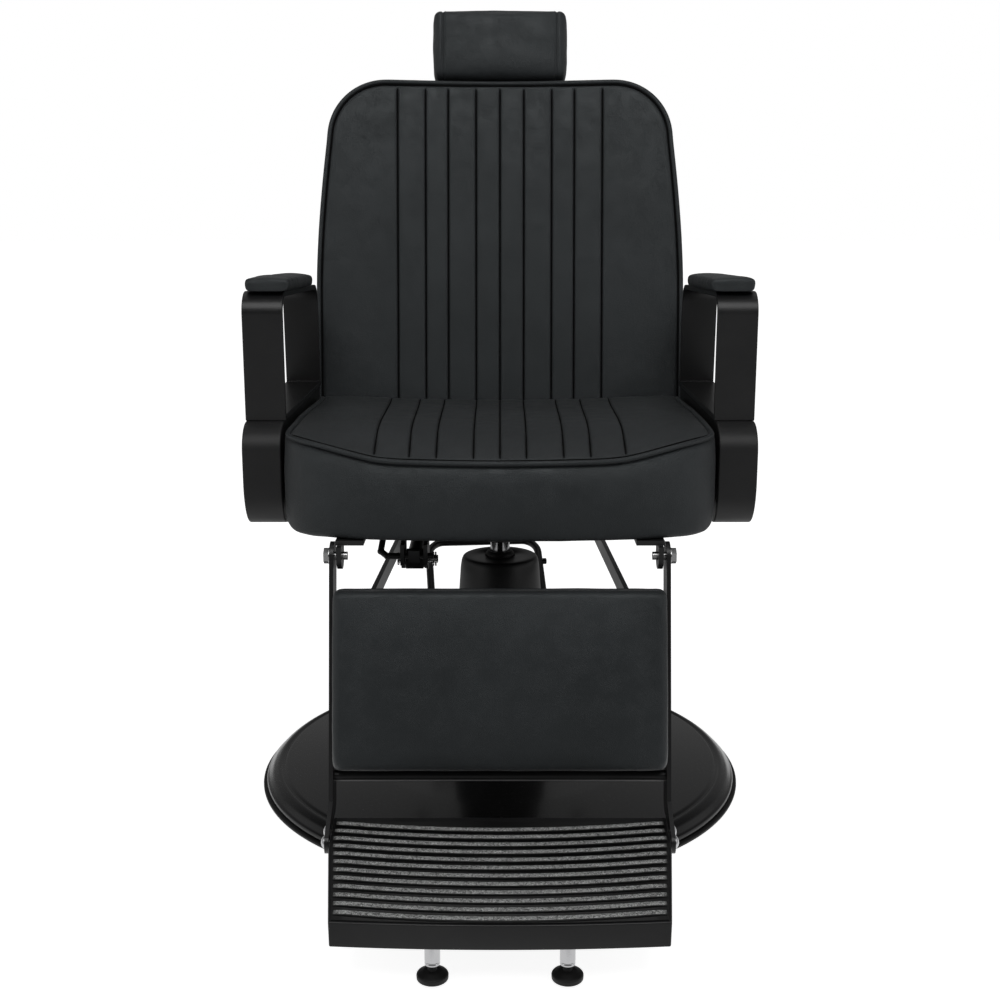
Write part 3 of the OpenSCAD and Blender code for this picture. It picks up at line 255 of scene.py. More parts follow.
class EffectLibrary:
    """Builds each shared shader node group once."""

    def __init__(self) -> None:
        self.made: dict[Effect, bpy.types.NodeTree] = {}
        self.makers: dict[Effect, Callable[[Graph, dict], dict]] = {
            Effect.GRAIN: self._grain,
            Effect.FILM: self._film,
            Effect.STROKES: self._strokes,
            Effect.SPECKLE: self._speckle,
            Effect.WEAVE: self._weave,
        }

    def get(self, effect: Effect) -> bpy.types.NodeTree:
        """Returns the group of an effect, made on first use."""
        if effect not in self.made:
            self.made[effect] = self._build(effect)
        return self.made[effect]

    def _build(self, effect: Effect) -> bpy.types.NodeTree:
        """Makes the node group of an effect.

        Args:
            effect: the effect.

        Returns:
            The group.
        """
        tree = bpy.data.node_groups.new(effect.value, "ShaderNodeTree")
        for name, kind in (("Color", "NodeSocketColor"), ("Fleck", "NodeSocketColor"),
                           ("Roughness", "NodeSocketFloat"), ("Size", "NodeSocketFloat")):
            tree.interface.new_socket(name, in_out="INPUT", socket_type=kind)
        for name, kind in (("Color", "NodeSocketColor"), ("Roughness", "NodeSocketFloat"),
                           ("Height", "NodeSocketFloat")):
            tree.interface.new_socket(name, in_out="OUTPUT", socket_type=kind)
        graph = Graph(tree)
        entry = graph.add("NodeGroupInput")
        inputs = {socket.name: socket for socket in entry.outputs if socket.name}
        coords = graph.add("TexCoord").outputs["Object"]
        inputs["Place"] = coords
        inputs["Scale"] = graph.math("DIVIDE", 1.0, inputs["Size"])
        results = self.makers[effect](graph, inputs)
        exit_node = graph.add("NodeGroupOutput")
        for name, socket in results.items():
            tree.links.new(socket, exit_node.inputs[name])
        return tree

    def _grain(self, graph: Graph, inputs: dict) -> dict:
        """Pebbled leather: soft cells, fine pores, slow changes of tone.

        Args:
            graph: the group's own graph.
            inputs: the group's inputs, with Place and Scale.

        Returns:
            The Color, Roughness and Height outputs.
        """
        bend = graph.add("TexNoise", {"Vector": inputs["Place"], "Scale": 160.0, "Detail": 2.0}).outputs[1]
        moved = graph.add("VectorMath", {0: bend, 1: (0.0016, 0.0016, 0.0016)}, operation="MULTIPLY")
        place = graph.add("VectorMath", {0: inputs["Place"], 1: moved.outputs[0]}, operation="ADD").outputs[0]
        cells = graph.add("TexVoronoi", {"Vector": place, "Scale": inputs["Scale"]},
                          feature="DISTANCE_TO_EDGE").outputs["Distance"]
        pebble = graph.ramp(cells, 0.0, 0.32, 0.0, 1.0, smooth=True)
        pores = graph.noise(inputs["Place"], graph.math("MULTIPLY", inputs["Scale"], 2.3), 3.0)
        broad = graph.noise(inputs["Place"], 9.0, 3.0)
        patches = graph.noise(inputs["Place"], 46.0, 3.0)
        height = graph.math("MULTIPLY_ADD", pores, 0.35, pebble)
        strength = graph.ramp(patches, 0.38, 0.66, 0.45, 1.0)
        tone = graph.ramp(broad, 0.35, 0.65, 0.0, 1.0)
        shade = graph.math("MULTIPLY", tone, graph.math("MULTIPLY_ADD", pebble, 0.3, 0.7))
        rough = graph.math("ADD", inputs["Roughness"], graph.math("MULTIPLY_ADD", patches, 0.16, -0.08))
        return {"Color": graph.mix(shade, inputs["Color"], inputs["Fleck"]),
                "Roughness": graph.math("MULTIPLY_ADD", pebble, -0.05, rough),
                "Height": graph.math("MULTIPLY", height, strength)}

    def _film(self, graph: Graph, inputs: dict) -> dict:
        """Painted or moulded skin: slight waviness, a few dull patches.

        Args:
            graph: the group's own graph.
            inputs: the group's inputs, with Place and Scale.

        Returns:
            The Color, Roughness and Height outputs.
        """
        fine = graph.noise(inputs["Place"], inputs["Scale"], 2.0)
        patches = graph.noise(inputs["Place"], 14.0, 4.0, 0.6)
        dust = graph.noise(inputs["Place"], 900.0, 1.0)
        specks = graph.ramp(dust, 0.70, 0.78, 0.0, 1.0)
        tone = graph.ramp(patches, 0.4, 0.7, 0.0, 0.8)
        rough = graph.math("ADD", inputs["Roughness"], graph.math("MULTIPLY_ADD", patches, 0.14, -0.07))
        return {"Color": graph.mix(graph.math("MAXIMUM", tone, specks), inputs["Color"], inputs["Fleck"]),
                "Roughness": graph.math("MULTIPLY_ADD", specks, 0.1, rough),
                "Height": fine}

    def _strokes(self, graph: Graph, inputs: dict) -> dict:
        """Plated or ground metal: fine strokes along one way, faint clouds.

        Args:
            graph: the group's own graph.
            inputs: the group's inputs, with Place and Scale.

        Returns:
            The Color, Roughness and Height outputs.
        """
        stretched = graph.add("VectorMath", {0: inputs["Place"], 1: (1.0, 1.0, 0.06)},
                              operation="MULTIPLY").outputs[0]
        strokes = graph.noise(stretched, graph.math("MULTIPLY", inputs["Scale"], 4.0), 3.0)
        clouds = graph.noise(inputs["Place"], 60.0, 3.0)
        pits = graph.noise(inputs["Place"], 700.0, 1.0)
        stain = graph.ramp(pits, 0.66, 0.75, 0.0, 0.7)
        tone = graph.math("MAXIMUM", graph.math("MULTIPLY", clouds, 0.5), stain)
        rough = graph.math("ADD", inputs["Roughness"], graph.math("MULTIPLY_ADD", clouds, 0.10, -0.05))
        return {"Color": graph.mix(tone, inputs["Color"], inputs["Fleck"]),
                "Roughness": graph.math("MULTIPLY_ADD", stain, 0.12, rough),
                "Height": strokes}

    def _speckle(self, graph: Graph, inputs: dict) -> dict:
        """Gritty coat: light grains on a dark ground, with more of them shown on faces that look up as a
        painted highlight of the light from above.

        Args:
            graph: the group's own graph.
            inputs: the group's inputs, with Place and Scale.

        Returns:
            The Color, Roughness and Height outputs.
        """
        grains = graph.add("TexVoronoi", {"Vector": inputs["Place"], "Scale": inputs["Scale"]})
        lottery = graph.add("SeparateColor", {0: grains.outputs["Color"]}).outputs[0]
        normal = graph.add("TexCoord").outputs["Normal"]
        upward = graph.add("SeparateXYZ", {0: normal}).outputs["Z"]
        # painted highlight: faces that look up show more light grains, standing in for the lamps' light on
        # the tops
        lifted = graph.ramp(upward, 0.60, 0.90, 0.0, 1.0, smooth=True)
        patches = graph.noise(inputs["Place"], graph.math("MULTIPLY", inputs["Scale"], 0.35), 2.0)
        chance = graph.math("MULTIPLY", lottery, graph.math("MULTIPLY_ADD", patches, 0.9, 0.5))
        shown = graph.math("MULTIPLY", chance, lifted)
        return {"Color": graph.mix(shown, inputs["Color"], inputs["Fleck"]),
                "Roughness": graph.math("MULTIPLY_ADD", lottery, 0.2, inputs["Roughness"]),
                "Height": graph.math("SUBTRACT", 1.0, grains.outputs["Distance"])}

    def _weave(self, graph: Graph, inputs: dict) -> dict:
        """Woven backing cloth.

        Args:
            graph: the group's own graph.
            inputs: the group's inputs, with Place and Scale.

        Returns:
            The Color, Roughness and Height outputs.
        """
        values = {"Vector": inputs["Place"], "Scale": graph.math("MULTIPLY", inputs["Scale"], 0.16),
                  "Distortion": 0.3}
        warp = graph.add("TexWave", values, bands_direction="X").outputs["Fac"]
        weft = graph.add("TexWave", values, bands_direction="Z").outputs["Fac"]
        level = graph.add("TexWave", values, bands_direction="Y").outputs["Fac"]
        cloth = graph.math("MULTIPLY", graph.math("ADD", weft, graph.math("MULTIPLY", level, 0.5)), warp)
        broad = graph.noise(inputs["Place"], 20.0, 3.0)
        tone = graph.math("MULTIPLY", cloth, broad)
        return {"Color": graph.mix(tone, inputs["Color"], inputs["Fleck"]),
                "Roughness": graph.math("MULTIPLY_ADD", broad, 0.1, inputs["Roughness"]),
                "Height": cloth}


class Paintbox:
    """Makes one material per slot from the finish table."""

    def __init__(self) -> None:
        self.effects = EffectLibrary()
        self.made: dict[str, bpy.types.Material] = {}

    def get(self, slot: Slot) -> bpy.types.Material:
        """Returns the material of a slot, made on first use."""
        return self.mix(FINISHES[slot])

    def mix(self, finish: Finish) -> bpy.types.Material:
        """Returns the material of a finish, made on first use."""
        if finish.name not in self.made:
            self.made[finish.name] = self._build(finish)
        return self.made[finish.name]

    def _build(self, finish: Finish) -> bpy.types.Material:
        """Makes the material of a finish.

        Args:
            finish: the finish.

        Returns:
            The material.
        """
        material = bpy.data.materials.new(finish.name)
        graph = new_graph(material)
        group = graph.add("Group")
        group.node_tree = self.effects.get(finish.effect)
        group.inputs["Color"].default_value = (*finish.color, 1.0)
        group.inputs["Fleck"].default_value = (*finish.fleck, 1.0)
        group.inputs["Roughness"].default_value = finish.roughness
        group.inputs["Size"].default_value = finish.size
        bump = graph.add("Bump", {"Height": group.outputs["Height"], "Distance": finish.depth,
                                  "Strength": 1.0})
        shader = graph.add("BsdfPrincipled", {
            "Base Color": group.outputs["Color"],
            "Roughness": group.outputs["Roughness"],
            "Normal": bump.outputs[0],
            "Metallic": finish.metallic,
            "Specular IOR Level": finish.specular,
            "Specular Tint": (*finish.tint, 1.0),
            "Coat Weight": finish.coat,
            "Coat Roughness": 0.12,
            "Sheen Weight": finish.sheen,
        })
        graph.add("OutputMaterial", {"Surface": shader.outputs[0]})
        material.diffuse_color = (*finish.color, 1.0)
        return material


PAINT = Paintbox()


# ---------------------------------------------------------------- geometry


def place_at(y: float, z: float, turn: float) -> Matrix:
    """Frame at (0, y, z) millimetres, turned about X by turn degrees."""
    return Matrix.Translation((0.0, y, z)) @ Matrix.Rotation(math.radians(turn), 4, "X")


BACK = place_at(190.0, 450.0, -9.0)
LEG = place_at(-319.0, 414.0, -12.7)
FOOT_TILT = 6.0
FOOT_REAR = (-319.0 - 295.0 * math.sin(math.radians(12.7)) - 15.0,
             414.0 - 295.0 * math.cos(math.radians(12.7)) - 15.0)
FOOT = place_at(FOOT_REAR[0], FOOT_REAR[1], FOOT_TILT)
LEVER = Matrix.Rotation(math.radians(5.7), 4, "Z")
WORLD = Matrix.Identity(4)


def mesh_object(name: str, points: Sequence, faces: Sequence, place: Matrix = WORLD) -> bpy.types.Object:
    """Makes a smooth-shaded mesh object.

    Args:
        name: the object's name.
        points: corner points in millimetres in the place's own frame.
        faces: tuples of indices.
        place: the frame that the points are written in.

    Returns:
        The object, with its origin at the frame's origin.
    """
    mesh = bpy.data.meshes.new(name)
    mesh.from_pydata([(place @ Vector(p)) * MM for p in points], [], [tuple(f) for f in faces])
    mesh.validate()
    work = bmesh.new()
    work.from_mesh(mesh)
    bmesh.ops.recalc_face_normals(work, faces=work.faces)
    work.to_mesh(mesh)
    work.free()
    mesh.shade_smooth()
    return new_object(name, mesh)


def skin_faces(rings: int, size: int, closed: bool = True) -> list[tuple[int, ...]]:
    """Quads between neighbouring rings of the same size.

    Args:
        rings: number of rings.
        size: points of a ring.
        closed: whether a ring is closed.

    Returns:
        The faces.
    """
    last = size if closed else size - 1
    return [(i * size + j, i * size + (j + 1) % size, (i + 1) * size + (j + 1) % size, (i + 1) * size + j)
            for i in range(rings - 1) for j in range(last)]


def loft(name: str, rings: Sequence[Ring], place: Matrix = WORLD, caps: bool = True) -> bpy.types.Object:
    """Closed skin through rings of equal size, with flat ends.

    Args:
        name: the object's name.
        rings: loops with equally many points.
        place: the frame that the points are written in.
        caps: whether the ends are closed.

    Returns:
        The object.
    """
    size = len(rings[0])
    faces = skin_faces(len(rings), size)
    if caps:
        faces.append(tuple(reversed(range(size))))
        faces.append(tuple((len(rings) - 1) * size + j for j in range(size)))
    return mesh_object(name, [p for ring in rings for p in ring], faces, place)


def lathe(name: str, profile: Sequence[Spot], place: Matrix = WORLD, sides: int = 96) -> bpy.types.Object:
    """Turns (radius, height) points about the place's Z axis.

    Args:
        name: the object's name.
        profile: points (radius, height); a radius of 0 closes an end.
        place: the frame that the points are written in.
        sides: points round the axis.

    Returns:
        The object.
    """
    rings = [[(r * math.cos(2 * math.pi * k / sides), r * math.sin(2 * math.pi * k / sides), z)
              for k in range(sides)] for r, z in profile]
    obj = loft(name, rings, place, caps=False)
    weld(obj)
    return obj


def rounded(profile: Sequence[Spot], radius: float, steps: int = 4) -> list[Spot]:
    """Rounds the inner corners of an open outline.

    Args:
        profile: points in order.
        radius: how far a corner is cut back.
        steps: parts of each rounded corner.

    Returns:
        The rounded outline.
    """
    out = [profile[0]]
    for before, at, after in zip(profile, profile[1:], profile[2:]):
        a, b, c = Vector(before), Vector(at), Vector(after)
        cut = min(radius, (a - b).length * 0.45, (c - b).length * 0.45)
        start = b + (a - b).normalized() * cut
        end = b + (c - b).normalized() * cut
        for k in range(steps + 1):
            t = k / steps
            out.append(tuple(start * (1 - t) ** 2 + b * (2 * t * (1 - t)) + end * t * t))
    out.append(profile[-1])
    return out


def frames_along(path: Sequence[Vector], closed: bool) -> list[tuple[Vector, Vector]]:
    """Two directions across the path at each point, turned as little as possible.

    Args:
        path: points in order.
        closed: whether the path runs back to its start.

    Returns:
        One pair of directions for each point.
    """
    count = len(path)
    tangents = []
    for i in range(count):
        before = path[(i - 1) % count] if closed or i > 0 else path[i]
        after = path[(i + 1) % count] if closed or i < count - 1 else path[i]
        tangents.append((after - before).normalized())
    up = Vector((0, 0, 1)) if abs(tangents[0].z) < 0.9 else Vector((0, 1, 0))
    side = tangents[0].cross(up).normalized()
    out = []
    for tangent in tangents:
        side = (side - tangent * side.dot(tangent)).normalized()
        out.append((side, tangent.cross(side)))
    return out


def sweep(name: str, path: Sequence[Point], radius: float, sides: int = 12, closed: bool = False,
          place: Matrix = WORLD, radii: Optional[Sequence[float]] = None) -> bpy.types.Object:
    """Round tube along a path, with flat ends unless the path is closed.

    Args:
        name: the object's name.
        path: points in order.
        radius: radius of the tube.
        sides: points round the axis.
        closed: whether the path runs back to its start.
        place: the frame that the points are written in.
        radii: radius at each point, where it changes.

    Returns:
        The tube.
    """
    points = [Vector(p) for p in path]
    rings = []
    for i, (at, (a, b)) in enumerate(zip(points, frames_along(points, closed))):
        r = radii[i] if radii else radius
        turns = [2 * math.pi * k / sides for k in range(sides)]
        rings.append([tuple(at + a * (r * math.cos(turn)) + b * (r * math.sin(turn))) for turn in turns])
    if closed:
        rings.append(rings[0])
    obj = loft(name, rings, place, caps=not closed)
    if closed:
        weld(obj)
    return obj


def weld(obj: bpy.types.Object, distance: float = 1e-6) -> None:
    """Merges points of a mesh that lie together.

    Args:
        obj: the piece.
        distance: longest gap that closes.
    """
    work = bmesh.new()
    work.from_mesh(obj.data)
    bmesh.ops.remove_doubles(work, verts=work.verts, dist=distance)
    bmesh.ops.recalc_face_normals(work, faces=work.faces)
    work.to_mesh(obj.data)
    work.free()


def smooth_path(points: Sequence[Point], steps: int = 6) -> list[Point]:
    """Catmull-Rom curve through the points.

    Args:
        points: points in order.
        steps: points from one corner to the next.

    Returns:
        The points of the curve.
    """
    pts = [Vector(p) for p in points]
    pts = [pts[0] * 2 - pts[1]] + pts + [pts[-1] * 2 - pts[-2]]
    out = []
    for a, b, c, d in zip(pts, pts[1:], pts[2:], pts[3:]):
        for k in range(steps):
            t = k / steps
            out.append(tuple(0.5 * (2 * b + (c - a) * t + (2 * a - 5 * b + 4 * c - d) * t * t
                                    + (3 * b - a - 3 * c + d) * t ** 3)))
    out.append(tuple(pts[-2]))
    return out


def bevel(obj: bpy.types.Object, width: float, segments: int = 3, angle: float = 35.0) -> bpy.types.Object:
    """Rounds the sharp edges and keeps flat faces flat in the shading.

    Args:
        obj: the piece.
        width: width in millimetres.
        segments: parts of a rounded edge.
        angle: edges sharper than this, in degrees.

    Returns:
        The piece.
    """
    tool = obj.modifiers.new("edge", "BEVEL")
    tool.width = width * MM
    tool.segments = segments
    tool.limit_method = "ANGLE"
    tool.angle_limit = math.radians(angle)
    tool.harden_normals = False
    tool.use_clamp_overlap = True
    shade = obj.modifiers.new("shade", "WEIGHTED_NORMAL")
    shade.keep_sharp = True
    return obj


def subdivide(obj: bpy.types.Object, levels: int = 1) -> bpy.types.Object:
    """Adds one subdivision surface.

    Args:
        obj: the piece.
        levels: how often it is subdivided.

    Returns:
        The piece.
    """
    tool = obj.modifiers.new("round", "SUBSURF")
    tool.levels = levels
    tool.render_levels = levels
    return obj


def plate(name: str, outline: Sequence[Spot], low: float, high: float, to_point: Callable,
          place: Matrix = WORLD) -> bpy.types.Object:
    """Flat plate: an outline in two coordinates, thick along the third.

    Args:
        name: the object's name.
        outline: points (u, v) in order.
        low: lower end of the thickness.
        high: upper end of the thickness.
        to_point: turns (u, v, w) into a point.
        place: the frame of the points.

    Returns:
        The plate object.
    """
    rings = [[to_point(u, v, w) for u, v in outline] for w in (low, high)]
    return loft(name, rings, place)


def along_x(u: float, v: float, w: float) -> Point:
    """Outline in (y, z), thick along X."""
    return (w, u, v)


def join(name: str, parts: Sequence[bpy.types.Object]) -> bpy.types.Object:
    """Joins meshes, with their modifiers baked in, into one object.

    Args:
        name: the object's name.
        parts: the meshes to join.

    Returns:
        The joined object.
    """
    work = bmesh.new()
    for part in parts:
        evaluated = part.evaluated_get(bpy.context.evaluated_depsgraph_get())
        mesh = evaluated.to_mesh()
        work.from_mesh(mesh)
        evaluated.to_mesh_clear()
    mesh = bpy.data.meshes.new(name)
    work.to_mesh(mesh)
    work.free()
    mesh.shade_smooth()
    for part in parts:
        bpy.data.objects.remove(part)
    return new_object(name, mesh)


def sind(angle: float) -> float:
    """Sine of an angle in degrees."""
    return math.sin(math.radians(angle))


def cosd(angle: float) -> float:
    """Cosine of an angle in degrees."""
    return math.cos(math.radians(angle))


def smoothstep(t: float) -> float:
    """0 below 0, 1 above 1, smooth between."""
    c = min(1.0, max(0.0, t))
    return c * c * (3 - 2 * c)


def corner_arc(u: float, half: float, radius: float) -> float:
    """How far a rounded corner has fallen away at u from the middle.

    Args:
        u: distance from the middle.
        half: half width.
        radius: radius of the corner.

    Returns:
        The distance in millimetres.
    """
    if u <= half - radius:
        return 0.0
    return radius - math.sqrt(max(0.0, radius * radius - (u - half + radius) ** 2))


def finish_piece(obj: bpy.types.Object, body: str, slot: Slot, *nodes: str,
                 finish: Optional[Finish] = None) -> bpy.types.Object:
    """Gives a piece its material, its body and the CAD nodes that it stands for.

    Args:
        obj: the piece.
        body: the body that it rides on.
        slot: its material slot.
        nodes: the CAD nodes that it replaces.
        finish: another finish in the same slot.

    Returns:
        The piece.
    """
    obj.data.materials.clear()
    obj.data.materials.append(PAINT.mix(finish) if finish else PAINT.get(slot))
    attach(obj, body)
    if nodes:
        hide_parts(*nodes)
    return obj


# ---------------------------------------------------------------- cushions


# depth share of a seam's groove by distance from the seam, in millimetres
GROOVE = {0.0: 1.0, 0.6: 0.82, 1.3: 0.30, 2.6: 0.05}
# distance of a column that is near no seam
AWAY = 99.0
# widths of the columns between and beside the seams
SEWN_PITCH = 7.0
PLAIN_PITCH = 8.0
# height of the backrest's low bend, and its columns from the outermost seam to the edge
FOOT_BEND = 26.0
SIDE_SHARES = (0.08, 0.16, 0.24, 0.32, 0.40, 0.48, 0.56, 0.64, 0.71, 0.78, 0.84, 0.885, 0.915, 0.934,
               0.946, 0.957, 0.968, 0.98, 0.99, 1.0)
# first point of a seat ring that lies on the top
FIRST_TOP = 9


@dataclass
class Columns:
    """Columns across a cushion with sewn channels, tight around each seam.

    Attributes:
        half: half width of the cushion in millimetres.
        front: seam places at the front or bottom.
        rear: seam places at the rear or top.
        edge: extra columns towards the side, as distances from it.
    """

    half: float
    front: tuple[float, ...]
    rear: tuple[float, ...]
    edge: tuple[float, ...]
    pairs: list[Spot] = field(default_factory=list)
    near: list[float] = field(default_factory=list)

    def __post_init__(self) -> None:
        """Works out the columns from the seams."""
        offsets = (0.0, 0.6, 1.3, 2.6, 6.0)
        side: list[tuple[float, float, float]] = []
        for k, (f, r) in enumerate(zip(self.front, self.rear)):
            side.extend((f + o, r + o, o) for o in offsets)
            if k + 1 == len(self.front):
                continue
            gap_f = self.front[k + 1] - f - 2 * offsets[-1]
            gap_r = self.rear[k + 1] - r - 2 * offsets[-1]
            count = max(2, round(gap_f / SEWN_PITCH))
            for i in range(1, count):
                side.append((f + offsets[-1] + gap_f * i / count, r + offsets[-1] + gap_r * i / count, AWAY))
            side.extend((self.front[k + 1] - o, self.rear[k + 1] - o, o) for o in reversed(offsets[1:]))
        last_f = self.front[-1] + offsets[-1]
        last_r = self.rear[-1] + offsets[-1]
        stop = self.half - self.edge[0]
        count = max(3, round((stop - last_f) / PLAIN_PITCH))
        for i in range(1, count):
            side.append((last_f + (stop - last_f) * i / count, last_r + (stop - last_r) * i / count, AWAY))
        side.extend((self.half - e, self.half - e, AWAY) for e in self.edge)
        left = [(-f, -r, n) for f, r, n in reversed(side[1:])]
        rows = left + side
        self.pairs = [(f, r) for f, r, _ in rows]
        self.near = [n for _, _, n in rows]

    def groove(self, k: int) -> float:
        """Depth share of the seam at column k, from 0 to 1."""
        return GROOVE.get(self.near[k], 0.0)


def puff(obj: bpy.types.Object, held: dict[int, float], reach: float,
         fade: Callable[[Vector], float] = lambda p: 1.0, pressure: float = 4.0, frames: int = 14) -> None:
    """Swells a cushion with the cloth solver and keeps the result in its mesh.

    Args:
        obj: the cushion, already in its place.
        held: points that the solver holds, with their weights.
        reach: most that a point may move, in millimetres.
        fade: share of the move that a point keeps, by its place.
        pressure: inner pressure.
        frames: frames to run.
    """
    group = obj.vertex_groups.new(name="held")
    for index, weight in held.items():
        group.add([index], weight, "REPLACE")
    cloth = obj.modifiers.new("cloth", "CLOTH")
    settings = cloth.settings
    settings.quality = 5
    settings.mass = 0.3
    settings.tension_stiffness = 18.0
    settings.compression_stiffness = 18.0
    settings.shear_stiffness = 8.0
    settings.bending_stiffness = 0.6
    settings.use_pressure = True
    settings.uniform_pressure_force = pressure
    settings.effector_weights.gravity = 0.0
    settings.vertex_group_mass = "held"
    cloth.collision_settings.use_collision = False
    cloth.point_cache.frame_start = 1
    cloth.point_cache.frame_end = frames
    scene = bpy.context.scene
    for number in range(1, frames + 1):
        scene.frame_set(number)
    evaluated = obj.evaluated_get(bpy.context.evaluated_depsgraph_get())
    swollen = np.empty(len(obj.data.vertices) * 3)
    evaluated.data.vertices.foreach_get("co", swollen)
    rest = np.empty_like(swollen)
    obj.data.vertices.foreach_get("co", rest)
    move = (swollen - rest).reshape(-1, 3)
    length = np.linalg.norm(move, axis=1)
    limit = reach * MM
    share = np.where(length > 1e-9, limit * np.tanh(length / limit) / np.maximum(length, 1e-9), 0.0)
    share *= np.array([fade(Vector(p)) for p in rest.reshape(-1, 3)])
    obj.modifiers.remove(cloth)
    obj.vertex_groups.clear()
    obj.data.vertices.foreach_set("co", (rest.reshape(-1, 3) + move * share[:, None]).ravel())
    obj.data.update()
    scene.frame_set(1)
    log.info("%s: solver moved up to %.1f mm, kept up to %.1f mm", obj.name,
             float(length.max()) / MM, float((length * share).max()) / MM)


def sink(obj: bpy.types.Object, depths: dict[int, float]) -> None:
    """Moves points inwards along their normals.

    Args:
        obj: the piece.
        depths: depth in millimetres by point.
    """
    normals = [v.normal.copy() for v in obj.data.vertices]
    for index, depth in depths.items():
        obj.data.vertices[index].co -= normals[index] * (depth * MM)
    obj.data.update()


def crease_noise(obj: bpy.types.Object, scale: float, depth: float, stretch: Vector, share: Callable) -> None:
    """Adds soft wrinkles.

    Args:
        obj: the cushion.
        scale: wrinkles per metre.
        depth: height in millimetres.
        stretch: how the wrinkles are drawn out along each axis.
        share: strength from 0 to 1 at a point.
    """
    normals = [v.normal.copy() for v in obj.data.vertices]
    for vertex, normal in zip(obj.data.vertices, normals):
        at = vertex.co
        place = Vector((at.x * stretch.x, at.y * stretch.y, at.z * stretch.z)) * scale
        value = noise.fractal(place, 0.9, 2.0, 3)
        vertex.co = at + normal * (value * depth * MM * share(at))
    obj.data.update()


def read_points(obj: bpy.types.Object, indices: Iterable[int]) -> list[Point]:
    """Points of the mesh in millimetres."""
    return [tuple(obj.data.vertices[i].co / MM) for i in indices]


def stitches(name: str, path: Sequence[Point], out: Callable, pitch: float = 4.2, length: float = 2.6,
             radius: float = 0.42) -> bpy.types.Object:
    """Row of thread stitches along a path.

    Args:
        name: the object's name.
        path: points in millimetres.
        out: gives the outward direction at a point.
        pitch: distance from stitch to stitch.
        length: length of a stitch.
        radius: radius of the thread.

    Returns:
        One object with all the stitches.
    """
    points = [Vector(p) for p in path]
    marks = [0.0]
    for a, b in zip(points, points[1:]):
        marks.append(marks[-1] + (b - a).length)
    verts: list[Point] = []
    faces: list[tuple[int, ...]] = []
    for n in range(int(marks[-1] / pitch)):
        at = (n + 0.5) * pitch
        i = max(k for k in range(len(marks) - 1) if marks[k] <= at)
        t = (at - marks[i]) / max(marks[i + 1] - marks[i], 1e-6)
        middle = points[i].lerp(points[i + 1], t)
        ahead = (points[i + 1] - points[i]).normalized()
        normal = Vector(out(middle)).normalized()
        side = ahead.cross(normal).normalized()
        base = len(verts)
        steps = ((-0.5, 0.35), (-0.32, 0.95), (0.0, 1.1), (0.32, 0.95), (0.5, 0.35))
        for s, swell in steps:
            for k in range(6):
                turn = 2 * math.pi * k / 6
                spot = middle + ahead * (s * length) + side * (radius * swell * math.cos(turn))
                verts.append(tuple(spot + normal * (radius * swell * math.sin(turn) + 0.1 - abs(s) * 0.5)))
        faces.extend(tuple(base + q for q in quad) for quad in skin_faces(len(steps), 6))
        faces.append(tuple(base + k for k in reversed(range(6))))
        faces.append(tuple(base + (len(steps) - 1) * 6 + k for k in range(6)))
    return mesh_object(name, verts, faces)


def end_rings(ring: Ring, steps: Sequence[Spot], axis: int) -> list[Ring]:
    """Rings that close a cushion's end.

    Args:
        ring: the last ring of the side.
        steps: pairs of (inward distance, outward distance) in millimetres.
        axis: 0 where the rings follow each other along X.

    Returns:
        The inner rings, each drawn in towards the ring's own middle line.
    """
    points = np.array(ring, float)
    middle = (points.min(axis=0) + points.max(axis=0)) / 2
    half = (points.max(axis=0) - points.min(axis=0)) / 2
    sign = 1.0 if middle[axis] > 0 else -1.0
    out = []
    for inward, outward in steps:
        moved = points.copy()
        for a in range(3):
            if a == axis or half[a] < 1e-6:
                continue
            moved[:, a] = middle[a] + (points[:, a] - middle[a]) * max(0.02, 1 - inward / half[a])
        moved[:, axis] += sign * outward
        out.append([tuple(p) for p in moved])
    return out


def capped(name: str, rings: list[Ring], caps: Sequence[Spot],
           place: Matrix = WORLD) -> tuple[bpy.types.Object, int, int]:
    """Closed skin through rings along X, with drawn-in ends.

    Args:
        name: the object's name.
        rings: loops with equally many points.
        caps: steps of the ends, as in end_rings.
        place: the frame that the points are written in.

    Returns:
        The object, the points of a ring and the rings before the first one.
    """
    left = list(reversed(end_rings(rings[0], caps, 0)))
    obj = loft(name, left + rings + end_rings(rings[-1], caps, 0), place)
    return obj, len(rings[0]), len(left)


